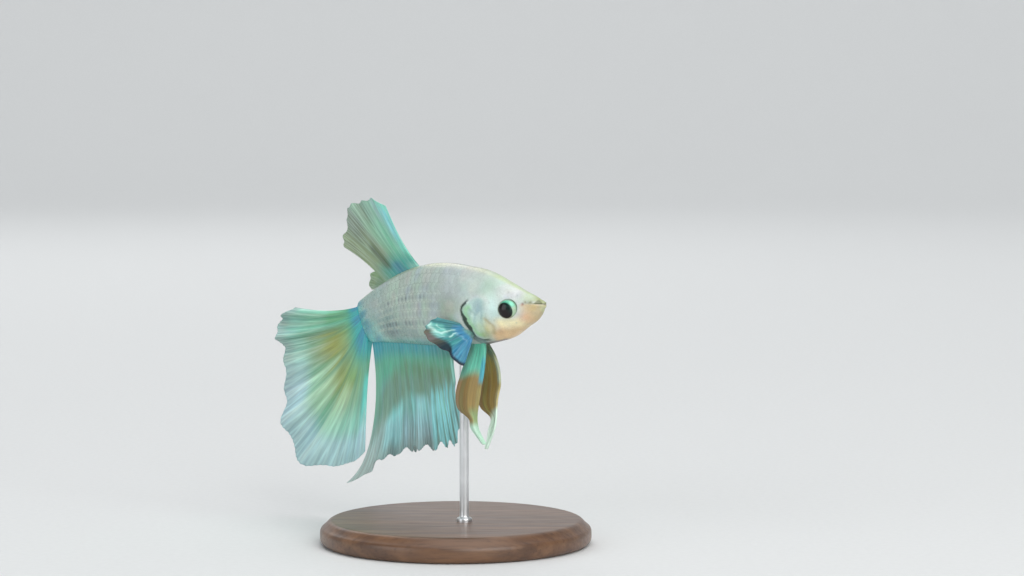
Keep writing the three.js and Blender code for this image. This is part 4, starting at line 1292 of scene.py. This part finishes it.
print("smoky middle", np.round(anal_paint(np.array([0.5]), np.array([0.35]), np.zeros(1)), 2))

# %% Build the anal fin
def build_anal():
    """Twenty-five rays, frayed more in front than behind."""
    front, back, u, v, ribs = fin_sheet(anal_ray, count=25, across=430, along=72, fray=(0.11, 0.03),
                                        pleat=0.18, web=0.12, root=0.7, rib=0.05)
    opacity = mix(1.0, 0.78, smooth((v - 0.5) / 0.45)) + 0.2 * ribs * smooth((v - 0.3) / 0.5)
    sheet = (front, back, u, v, anal_paint(u, v, ribs), np.clip(opacity, 0, 1))
    fin_piece("anal_fin", [sheet], blue_fin, "fin_anal")


build_anal()

# %% [markdown]
# ## The back fin
# A betta carries its short back fin far behind, here raised like a flag with a low lobe folded close
# behind it.  One fan can't be both raised and folded, so two sheets of the same kind, each with its own
# table of angles, make one piece.  The leading rays are bright cyan, the base teal, and the rear web
# almost clear.

# %% Rays of the back fin
BACK_FAN = {"from": 27.6, "to": 37.0, "folds": 2.5, "bow": (18, 26), "lean": (1.7, 1.2),
            "angle": curve((0, 61.5), (0.08, 60.5), (0.3, 53), (0.5, 48.5), (0.65, 45), (0.8, 40.5),
                           (1, 39.5)),
            "length": curve((0, 12.9), (0.08, 14.7), (0.3, 17.2), (0.5, 18.2), (0.65, 17.1), (0.8, 15.3),
                            (1, 12.7))}
BACK_LOBE = {"from": 36.2, "to": 38.8, "folds": 0.5, "bow": (0, 0), "lean": (-0.8, -1.3),
             "angle": curve((0, 31), (1, 4.5)), "length": curve((0, 5.6), (0.3, 6.3), (1, 5.3))}


def back_ray(fin):
    """Rays from the back line, bowed backwards near the root, leaning out to the near side."""

    def ray(u, v):
        """One point of the fan in fish space."""
        s = mix(fin["from"], fin["to"], u)
        root = section(s / LENGTH)[0] * 0.92
        angle = fin["angle"](u) - (fin["bow"][0] - fin["bow"][1] * u) * (1 - v) ** 1.2
        ds, da = bend(angle, fin["length"](u), v)
        wave = 0.35 * v**1.5 * np.sin(TAU * fin["folds"] * u)
        return s + slant(s / LENGTH, root) + ds, root + da, mix(*fin["lean"], u) * v**1.2 + wave

    return ray


print("the fan stands on", round(BACK_FAN["to"] - BACK_FAN["from"], 1), "mm of the back")

# %% Paint of the back fin
def back_paint(u, v, ribs, low):
    """Cyan leading rays, teal base, grey-green web with painted shade along a fold in it; low is 1 on the
    lobe.
    """
    colour = np.broadcast_to(ink(136, 158, 130), u.shape + (3,))
    colour = wash(colour, ink(116, 196, 166), 0.9 * smooth((0.55 - u) / 0.3))
    colour = wash(colour, ink(134, 150, 130), 0.75 * smooth((v - 0.55) / 0.3) * smooth((u - 0.2) / 0.3))
    colour = wash(colour, ink(116, 208, 192), 0.95 * smooth((0.22 - u) / 0.16) * smooth((v - 0.15) / 0.25))
    colour = wash(colour, ink(128, 144, 138), 0.45 * smooth((v - 0.64) / 0.2) * window(u, 0.26, 0.66, 0.12))
    colour = wash(colour, ink(182, 204, 220), 0.5 * hill(u - 0.17, 0.035) * smooth((v - 0.6) / 0.2))
    sky = hill(u - 0.06, 0.05) * window(v, 0.55, 0.85, 0.15)
    colour = wash(colour, ink(126, 204, 226), 0.7 * sky)
    teal = (1 - smooth((v - 0.1) / 0.28)) * smooth((1.1 - u) / 0.5)
    colour = wash(colour, ink(58, 160, 152), 0.95 * teal)
    colour = wash(colour, ink(146, 204, 190), 0.7 * smooth((0.3 - u) / 0.2) * (1 - smooth((v - 0.06) / 0.12)))
    colour = wash(colour, ink(64, 124, 156), 0.7 * hill(u - 0.45, 0.14) * window(v, 0.02, 0.14, 0.08))
    streak = bundles(u, v, 15, 17)
    leading = smooth((v - 0.25) / 0.3) * smooth((0.6 - u) / 0.2)
    colour = wash(colour, ink(158, 206, 184), 0.45 * streak * leading)
    # Painted shade: a dark olive band where the web folds.
    fold = hill(u - 0.65, 0.075) * window(v, 0.22, 0.46, 0.14)
    colour = wash(colour, ink(62, 84, 58), 0.9 * fold)
    colour = wash(colour, ink(150, 166, 132), 0.6 * smooth((u - 0.74) / 0.08) * smooth((v - 0.3) / 0.2))
    colour = wash(colour, ink(130, 160, 114), 0.95 * low)
    colour = wash(colour, ink(92, 132, 104), 0.6 * low * (1 - smooth((v - 0.4) / 0.3)))
    fine = grain(u * 50, v * 1.5, 19) - 0.5
    colour = colour * (1 + 0.16 * fine * smooth((v - 0.1) / 0.3))[..., None]
    return wash(colour, ink(206, 240, 226), 0.2 * ribs * smooth((v - 0.2) / 0.4) * (1 - 0.6 * low))


print("leading rays", np.round(back_paint(np.array([0.05]), np.array([0.6]), np.zeros(1), np.zeros(1)), 2))

# %% Build the back fin
def build_back():
    """The raised fan of eleven rays and the low lobe of four, in one piece."""
    sheets = []
    for fin, rays, across, along, low in ((BACK_FAN, 11, 200, 80, 0.0), (BACK_LOBE, 4, 64, 40, 1.0)):
        front, back, u, v, ribs = fin_sheet(back_ray(fin), rays, across, along, fray=(0.035, 0.03),
                                            pleat=0.16, web=0.12, root=0.6, rib=0.05)
        opacity = mix(1.0, 0.8, smooth((v - 0.3) / 0.5) * smooth((u - 0.15) / 0.3)) + 0.16 * ribs
        colour = back_paint(u, v, ribs, low + 0 * u)
        sheets.append((front, back, u, v, colour, np.clip(opacity, 0, 1)))
    fin_piece("back_fin", sheets, blue_fin, "fin_dorsal")


build_back()

# %% [markdown]
# ## The breast fins
# Bettas scull with these small round fans all the time.  They stand out from the flank behind the gill
# cover, metallic blue, with a bright turquoise upper lobe.  The web's wet folds flash in a few thin
# lines; lamps small enough to draw them would spoil the soft light, so they are painted along curves.

# %% Rays of the breast fins
breast_angle = curve((0, 19), (0.2, 10), (0.45, -4), (0.65, -27), (0.85, -58), (1, -83))
breast_length = curve((0, 4.6), (0.2, 5.9), (0.45, 6.7), (0.65, 5), (0.77, 4.2), (0.9, 4.7), (1, 4.9))
RIGHT_BREAST = {"side": 1, "open": 1.0, "lift": 0, "out": (22, 36)}
LEFT_BREAST = {"side": -1, "open": 0.5, "lift": 10, "out": (14, 10)}


def breast_ray(fin):
    """Rays fanned from a short root on the flank.  The right fin is open and turned outwards, 22 degrees
    above to 36 below; the left one is half folded and laid back."""

    def ray(u, v):
        """One point of the fan in fish space."""
        ds, da = bend(breast_angle(u) * fin["open"] + fin["lift"], breast_length(u), v)
        out = np.radians(mix(*fin["out"], u))
        start = flank(0.256, -4.0) - 0.5
        away = start + (ds + 0.35 * np.abs(da)) * np.sin(out) + 0.9 * v
        return 12.5 - 0.9 * u + ds * np.cos(out), -3.1 - 1.5 * u + da, fin["side"] * away

    return ray


print("longest breast ray", round(float(breast_length(0.45)), 1), "mm")

# %% Paint of the breast fins
# Each flash is its line over the fin, the stretch of v that it takes up, its width and its strength.
FLASHES = ((curve((0.3, 0.4), (0.5, 0.44), (0.62, 0.46), (0.72, 0.425), (0.82, 0.375), (0.9, 0.31),
                  (0.97, 0.25)), (0.52, 0.95), 0.024, 0.9),
           (curve((0.3, 0.4), (0.5, 0.43)), (0.36, 0.46), 0.018, 0.7),
           (curve((0.3, 0.49), (0.45, 0.54), (0.58, 0.585)), (0.36, 0.52), 0.014, 0.7),
           (curve((0.5, 0.4), (0.65, 0.34), (0.8, 0.24)), (0.58, 0.78), 0.014, 0.45),
           (curve((0.55, 0.54), (0.7, 0.5), (0.85, 0.44)), (0.64, 0.82), 0.018, 0.25))


def breast_paint(u, v, ribs):
    """Dark teal above, blue near the root and over the lower lobe, a turquoise bow crossed by a few
    painted white flashes of light, painted pale glints on the lower lobe, painted shade along a crease,
    and a darker hind margin that ends nearly black."""
    colour = np.broadcast_to(ink(54, 134, 136), u.shape + (3,))
    colour = wash(colour, ink(62, 138, 178), 0.9 * window(v, 0.16, 0.36, 0.1) * smooth((u - 0.06) / 0.2))
    colour = wash(colour, ink(66, 142, 138), 0.6 * window(u, 0.42, 0.7, 0.12) * window(v, 0.4, 0.6, 0.12))
    root = mix(ink(120, 172, 158), ink(84, 124, 112), smooth((np.abs(u - 0.52) - 0.16) / 0.2)[..., None])
    colour = wash(colour, root, 0.85 * (1 - smooth((v - 0.1) / 0.12)))
    bow = window(v - 0.5 * np.abs(u - 0.44), 0.56, 0.86, 0.1) * window(u, 0.24, 0.48, 0.08)
    colour = wash(colour, ink(112, 200, 186), 0.7 * bow)
    dark = window(u, 0.06, 0.28, 0.06) * window(v, 0.36, 0.74, 0.1)
    colour = wash(colour, ink(36, 100, 104), 0.6 * dark * (0.4 + 0.6 * bundles(u, v, 26, 25)))
    lower = smooth((u - 0.7) / 0.1) * smooth((v - 0.2) / 0.1)
    colour = wash(colour, ink(44, 120, 156), 0.9 * lower)
    colour = wash(colour, ink(92, 168, 186), 0.4 * lower * bundles(u, v, 40, 23))
    # Painted glints: thin pale lines of light across the lower lobe's web.
    painted_glint = hill(v - 0.3 - 0.06 * grain(u * 12, 1.0, 27), 0.028) * window(u, 0.54, 0.84, 0.06)
    colour = wash(colour, ink(150, 190, 206), 0.5 * painted_glint * (0.4 + 0.6 * grain(u * 30, 4.0, 26)))
    # Painted shade: a thin dark blue line along a crease in the web.
    crease = hill(u - 0.6 - 0.15 * (v - 0.3), 0.02) * window(v, 0.28, 0.6, 0.05)
    colour = wash(colour, ink(34, 88, 116), 0.6 * crease)
    for line, (start, end), wide, strength in FLASHES:
        wander = 0.02 * (grain(v * 22, 3.0, 28) - 0.5)
        broad = wide * (1 + 1.2 * smooth((v - 0.66) / 0.2))
        flash = hill(u - line(v) - wander, broad) * window(v, start, end, 0.06)
        colour = wash(colour, ink(204, 250, 238), strength * flash)
    # Darker towards the hind margin, nearly black at its end.
    inner = 0.74 - 0.12 * smooth((u - 0.44) / 0.16) + 0.24 * smooth((u - 0.66) / 0.16)
    smoky = smooth((u - 0.32) / 0.08) * smooth((v - inner) / mix(0.18, 0.1, smooth((u - 0.6) / 0.2)))
    smoke = mix(ink(104, 100, 88), ink(20, 44, 48), smooth((u - 0.46) / 0.24)[..., None])
    colour = wash(colour, smoke, 0.95 * smoky)
    fine = grain(u * 44, v * 1.5, 22) - 0.5
    colour = colour * (1 + 0.2 * fine)[..., None]
    return wash(colour, ink(150, 214, 220), 0.15 * ribs * smooth((v - 0.2) / 0.3) * (1 - smoky))


print(len(FLASHES), "flashes on each breast fin")

# %% Build the breast fins
def build_breast(fin, name, node):
    """Eleven rays, nearly opaque."""
    front, back, u, v, ribs = fin_sheet(breast_ray(fin), count=11, across=176, along=64, fray=(0.04, 0.04),
                                        pleat=0.12, web=0.1, root=0.5, rib=0.045)
    opacity = mix(1.0, 0.9, smooth((v - 0.5) / 0.4)) + 0.1 * ribs
    sheet = (front, back, u, v, breast_paint(u, v, ribs), np.clip(opacity, 0, 1))
    fin_piece(name, [sheet], breast_fin, node)


build_breast(RIGHT_BREAST, "breast_fin_right", "fin_pectoral_right")
build_breast(LEFT_BREAST, "breast_fin_left", "fin_pectoral_left")

# %% [markdown]
# ## The belly fins
# The pair under the throat is long and narrow: one stout leading ray, ending in a white tip, with a
# brown web behind it.  The right one is turquoise at its base.  Such a blade isn't a fan, so its rays
# run side by side: one curve gives the leading edge and a second the width of the web behind it.

# %% Rays of the belly fins
RIGHT_BELLY = {"side": 1, "drop": 16.1, "out": curve((0, 0.9), (0.3, 1.6), (1, 1.6)),
               "lead": curve((0, 11), (0.06, 10.8), (0.27, 10.9), (0.5, 11.7), (0.75, 12.6), (0.87, 12.3),
                             (1, 11.3)),
               "web": curve((0, 2.6), (0.08, 3.3), (0.27, 4.6), (0.55, 5.3), (0.66, 4.3), (0.75, 1.8),
                            (0.83, 1.7), (0.91, 1), (1, 0.4))}
LEFT_BELLY = {"side": -1, "drop": 17.2, "out": curve((0, -0.9), (0.3, -1.8), (1, -1.9)),
              "lead": curve((0, 12), (0.14, 10.8), (0.39, 10.5), (0.53, 11.3), (0.81, 12.3), (1, 14.4)),
              "web": curve((0, 2.4), (0.08, 3.2), (0.27, 4.4), (0.5, 4.8), (0.62, 3.8), (0.7, 1.5),
                           (0.83, 1.4), (0.91, 0.9), (1, 0.4))}


def belly_ray(fin):
    """u runs from the leading ray back over the web, v straight down from the throat."""

    def ray(u, v):
        """One point of the blade in fish space; the web bulges outwards between its two edges."""
        bulge = 0.5 * np.sin(np.pi * u) * fin["side"] * v
        return fin["lead"](v) + fin["web"](v) * u, -6 - fin["drop"] * v, fin["out"](v) + bulge

    return ray


print("the belly fins hang", RIGHT_BELLY["drop"], "and", LEFT_BELLY["drop"], "mm")

# %% Paint of the belly fins
def belly_paint(u, v, fin):
    """Turquoise or olive base, brown web streaked along, pale lead, white tip."""
    right = fin["side"] > 0
    colour = np.broadcast_to(ink(*((136, 120, 58) if right else (170, 152, 76))), u.shape + (3,))
    behind = ink(*((106, 100, 56) if right else (112, 122, 78)))
    colour = wash(colour, behind, 0.7 * smooth((u - 0.55) / 0.25))
    colour = wash(colour, ink(176, 142, 80), 0.5 * bundles(u, v * 2, 9, 30) * window(v, 0.3, 0.6, 0.1))
    colour = wash(colour, ink(150, 106, 44), 0.5 * bundles(u, v * 2, 7, 37) * window(v, 0.35, 0.75, 0.1))
    blend = 0.29 if right else 0.13
    base = 1 - smooth((v - blend + 0.1 * grain(u * 6, 0.5, 32)) / 0.13)
    colour = wash(colour, ink(*((108, 212, 182) if right else (112, 136, 106))), base)
    colour = wash(colour, ink(64, 124, 108), 0.75 * base * smooth((u - 0.6) / 0.2))
    lead = smooth((0.18 - u) / 0.09)
    pale = ink(*((72, 176, 196) if right else (180, 194, 166)))
    colour = wash(colour, pale, 0.9 * lead * (1 - smooth((v - 0.34) / 0.1)) * smooth((v - 0.1) / 0.1))
    late = ink(*((172, 158, 98) if right else (214, 202, 146)))
    colour = wash(colour, late, 0.8 * lead * smooth((v - 0.38) / 0.1))
    low = smooth((v - 0.6) / 0.12)
    colour = wash(colour, ink(148, 180, 124), 0.8 * low * smooth((0.5 - u) / 0.3))
    streak = grain(u * 22, v * 3, 31) - 0.5
    colour = colour * (1 + 0.36 * streak * (1 - 0.6 * low))[..., None]
    tip = smooth((v - mix(0.58, 0.68, u)) / 0.07)
    if right:
        tip = smooth((v - 0.76) / 0.08)
    return wash(colour, ink(*((184, 222, 200) if right else (226, 252, 236))), 0.94 * tip)


print("brown web", np.round(belly_paint(np.array([0.5]), np.array([0.5]), RIGHT_BELLY), 2))

# %% Build the belly fins
def build_belly(fin, name, node):
    """Five rays, the leading one thickened by 0.12 mm on both sides, less towards the tip."""
    front, back, u, v, _ = fin_sheet(belly_ray(fin), count=5, across=60, along=200, fray=(0, 0),
                                     pleat=0.07, web=0.12, root=0.4, rib=0.05)
    lead = hill(u, 0.12)
    thicken = 0.12 * lead * (1 - 0.5 * v)
    out = (front - back) / np.linalg.norm(front - back, axis=-1, keepdims=True)
    front, back = front + out * (thicken * MM)[..., None], back - out * (thicken * MM)[..., None]
    opacity = np.clip(0.9 + 0.1 * lead - 0.06 * smooth((u - 0.7) / 0.2) + 0.1 * smooth((v - 0.7) / 0.1), 0, 1)
    sheet = (front, back, u, v, belly_paint(u, v, fin), opacity)
    fin_piece(name, [sheet], brown_fin, node)


build_belly(RIGHT_BELLY, "belly_fin_right", "fin_pelvic_right")
build_belly(LEFT_BELLY, "belly_fin_left", "fin_pelvic_left")

# %% [markdown]
# ## The stand
# A museum shows such a model on a turned wooden base with one polished pin.  Both come off a lathe, so
# both are made as on a lathe: a profile turned about an upright axis, with its corners eased.  The wood's
# rings are noise stretched along the grain; the pin is bright steel with fine turning marks and a small
# collar where it enters the wood.

# %% Turn a profile
def turned(name, profile, centre, segments, material, node):
    """A closed profile of (radius, height) knots in mm, from the axis below to the axis above, turned
    about an upright line through centre."""
    radius, high = np.array(profile, float)[1:-1].T
    turn = np.linspace(0, TAU, segments, endpoint=False)[None, :]
    ring = np.stack([centre[0] + radius[:, None] * np.cos(turn), centre[1] + radius[:, None] * np.sin(turn),
                     high[:, None] + 0 * turn], -1)
    poles = [[centre[0], centre[1], profile[0][1]], [centre[0], centre[1], profile[-1][1]]]
    points = np.concatenate([ring.reshape(-1, 3), poles]) * MM
    index = np.arange(ring.shape[0] * segments).reshape(-1, segments)
    quads = cells(index, closed=True)
    tris = np.concatenate([fan(index[0][::-1], index.size), fan(index[-1], index.size + 1)])
    path = np.cumsum(np.r_[0, np.hypot(np.diff(radius), np.diff(high))])
    flat = np.stack(np.broadcast_arrays(0.02 + 0.46 * turn / TAU, 0.02 + 0.96 * path[:, None] / path[-1]), -1)
    corner = flat.reshape(-1, 2)[quads]
    past_the_seam = (quads % segments == 0) & (quads[:, :1] % segments == segments - 1)
    corner[..., 0] += np.where(past_the_seam, 0.46, 0)
    caps = []
    for middle_v, order in ((0.25, -1), (0.75, 1)):
        disc = np.stack([0.75 + 0.2 * np.cos(turn[0]), middle_v + 0.2 * np.sin(turn[0])], -1)[::order]
        middle = np.broadcast_to([0.75, middle_v], disc.shape)
        caps.append(np.stack([disc, np.roll(disc, -1, 0), middle], 1))
    piece(name, points, quads, tris, {}, [corner, np.concatenate(caps)], material, [node])


def rounded(knots, radius):
    """Rounds each inner corner of a profile: a quadratic bow between two points `radius` from it."""
    knots = [np.array(k, float) for k in knots]
    out = [knots[0]]
    for before, corner, after in zip(knots, knots[1:], knots[2:]):
        a = corner + (before - corner) * min(0.45, radius / np.linalg.norm(before - corner))
        b = corner + (after - corner) * min(0.45, radius / np.linalg.norm(after - corner))
        w = np.linspace(0, 1, 6)[:, None]
        out += list((1 - w) ** 2 * a + 2 * w * (1 - w) * corner + w * w * b)
    return out + [knots[-1]]


print("a square corner is rounded with", len(rounded([(0, 0), (1, 0), (1, 1)], 0.2)) - 2, "points")

# %% Wood and steel
def wood_finish():
    """Dark walnut: growth rings as stretched noise, darker pores along the grain, a satin lacquer."""
    tree = Tree("walnut_satin", Coat_Weight=0.35, Coat_Roughness=0.25)
    rings = tree.noise(1.0, 2, tree.place((30, 420, 420), (0.05, 0.0, 0.35)))
    pores = tree.noise(1.0, 4, tree.place((160, 2600, 2600), (0.05, 0.0, 0.35)))
    colour = tree.blend((0.088, 0.04, 0.019, 1), (0.17, 0.082, 0.037, 1), tree.ramp(rings, 0, 1, 0.36, 0.66))
    colour = tree.blend(colour, (0.04, 0.018, 0.01, 1), tree.ramp(pores, 0.0, 0.5, 0.52, 0.72))
    gloss = tree.ramp(pores, 0.36, 0.5)
    normal = tree.bump(pores, 0.2, 0.00005)
    tree.set(tree.shader, {"Base Color": colour, "Roughness": gloss, "Normal": normal})
    return tree


def steel_finish():
    """Bright steel: fine rings from turning, as noise squeezed along the pin."""
    tree = Tree("turned_steel", Metallic=1.0)
    marks = tree.noise(1.0, 1, tree.place((60, 60, 9000)))
    clouds = tree.noise(300, 2)
    colour = tree.blend((0.6, 0.61, 0.62, 1), (0.72, 0.73, 0.74, 1), tree.ramp(clouds, 0, 1))
    tree.set(tree.shader, {"Base Color": colour, "Roughness": tree.ramp(marks, 0.28, 0.36),
                           "Normal": tree.bump(marks, 0.06, 0.000004)})
    return tree


wood = wood_finish().material
steel = steel_finish().material
print("stand finishes:", wood.name, steel.name)

# %% Build the base and the pin
low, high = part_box("stand_base")
wide, thick = (high.x - low.x) / 2 / MM, high.z / MM
base_knots = [(0, 0), (wide - 0.7, 0), (wide, 0.7), (wide, thick - 1.5), (wide - 0.8, thick - 0.9),
              (wide - 1.6, thick), (0, thick)]
turned("stand_base_turned", rounded(base_knots, 0.6), (0, 0), 160, wood, "stand_base")
low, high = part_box("stand_rod")
pin_at = ((low.x + high.x) / 2 / MM, (low.y + high.y) / 2 / MM)
pin_top = high.z / MM + 0.4
pin_knots = [(0, thick - 0.5), (1.25, thick - 0.5), (1.25, thick + 0.55), (0.78, thick + 0.8),
             (0.74, thick + 2), (0.74, pin_top - 0.5), (0.5, pin_top), (0, pin_top)]
turned("stand_pin", rounded(pin_knots, 0.2), pin_at, 48, steel, "stand_rod")

# %% [markdown]
# ## Floor, light and camera
# The room is a wide shallow bowl, so that there is no corner behind the model from any side.  One large
# soft light hangs above, a key light stands to the front and right of the head, weak ones fill the other
# sides, and one more brightens the wall behind.  The camera is far off with a long lens, four degrees
# above level, as one looks at a fish.

# %% The room
FLAT_FLOOR = 1.3  # metres from the middle to where the floor begins to rise
ROOM_BOW = 0.9  # radius of the bow up to the wall
ROOM_SIDES = 96


def build_room():
    """A pale floor of revolution: flat to 1.3 m, then rising in a quarter bow to a low wall."""
    bow = np.linspace(0, np.pi / 2, 24)
    radius = np.concatenate([[0.02, 0.4, 0.9], FLAT_FLOOR + ROOM_BOW * np.sin(bow), [2.25]])
    rise = np.concatenate([[0, 0, 0], ROOM_BOW * (1 - np.cos(bow)), [2.6]])
    turn = np.linspace(0, TAU, ROOM_SIDES, endpoint=False)[None, :]
    radius, rise = radius[:, None], rise[:, None]
    points = np.stack([radius * np.cos(turn), radius * np.sin(turn), rise + 0 * turn], -1)
    index = np.arange(radius.size * ROOM_SIDES).reshape(-1, ROOM_SIDES)
    faces = [tuple(q) for q in cells(index, closed=True).tolist()] + [tuple(index[0][::-1].tolist())]
    mesh = bpy.data.meshes.new("room")
    mesh.from_pydata(points.reshape(-1, 3).tolist(), [], faces)
    mesh.polygons.foreach_set("use_smooth", np.ones(len(faces), bool))
    tree = Tree("pale_floor", Roughness=0.85)
    paper = tree.ramp(tree.noise(900, 2), 0.985, 1.015)
    tree.set(tree.shader, {"Base Color": tree.tint((0.7, 0.71, 0.71, 1), paper)})
    mesh.materials.append(tree.material)
    room = bpy.data.objects.new("room", mesh)
    bpy.context.scene.collection.objects.link(room)
    print("room of", len(faces), "faces")


build_room()

# %% Lights
def softbox(name, size, power, place, target, colour=(1, 1, 1)):
    """A square area light at place, facing target, in metres and watts."""
    light = bpy.data.lights.new(name, "AREA")
    light.size = size
    light.energy = power
    light.color = colour
    holder = bpy.data.objects.new(name, light)
    bpy.context.scene.collection.objects.link(holder)
    holder.location = place
    direction = np.array(target) - np.array(place)
    holder.rotation_euler = Vector(direction).to_track_quat("-Z", "Y").to_euler()


fish_middle = (0.0, 0.0, 0.04)
softbox("top_light", 1.2, 7, (0.15, -0.25, 1.5), fish_middle)
softbox("key_light", 0.7, 5.0, (0.35, -0.62, 0.42), fish_middle, (1.0, 0.99, 0.97))
softbox("fill_light", 0.7, 2.6, (-0.75, -0.55, 0.3), fish_middle, (0.96, 0.98, 1.0))
softbox("back_light", 0.6, 1.4, (-0.3, 0.8, 0.7), fish_middle)
softbox("wall_light", 1.4, 14, (0.0, 0.9, 1.7), (0.0, 2.2, 0.5))
world = bpy.data.worlds.new("room_light")
world.use_nodes = True
world.node_tree.nodes["Background"].inputs["Color"].default_value = (0.9, 0.94, 1.0, 1)
world.node_tree.nodes["Background"].inputs["Strength"].default_value = 0.32
bpy.context.scene.world = world
bpy.context.scene.view_settings.view_transform = "Standard"
print("five lights and a soft sky")

# %% The camera
AIM = np.array([9.1, -12.2, 42.3]) * MM
AWAY = 0.46  # metres from there to the camera
TILT = math.radians(4)
lens = bpy.data.cameras.new("camera")
lens.lens = 103
lens.sensor_width = 36
lens.clip_start = 0.01
camera = bpy.data.objects.new("camera", lens)
bpy.context.scene.collection.objects.link(camera)
camera.location = AIM + AWAY * np.array([0, -math.cos(TILT), math.sin(TILT)])
camera.rotation_euler = (math.pi / 2 - TILT, 0, 0)
bpy.context.scene.camera = camera
print("camera at", np.round(np.array(camera.location), 3).tolist())
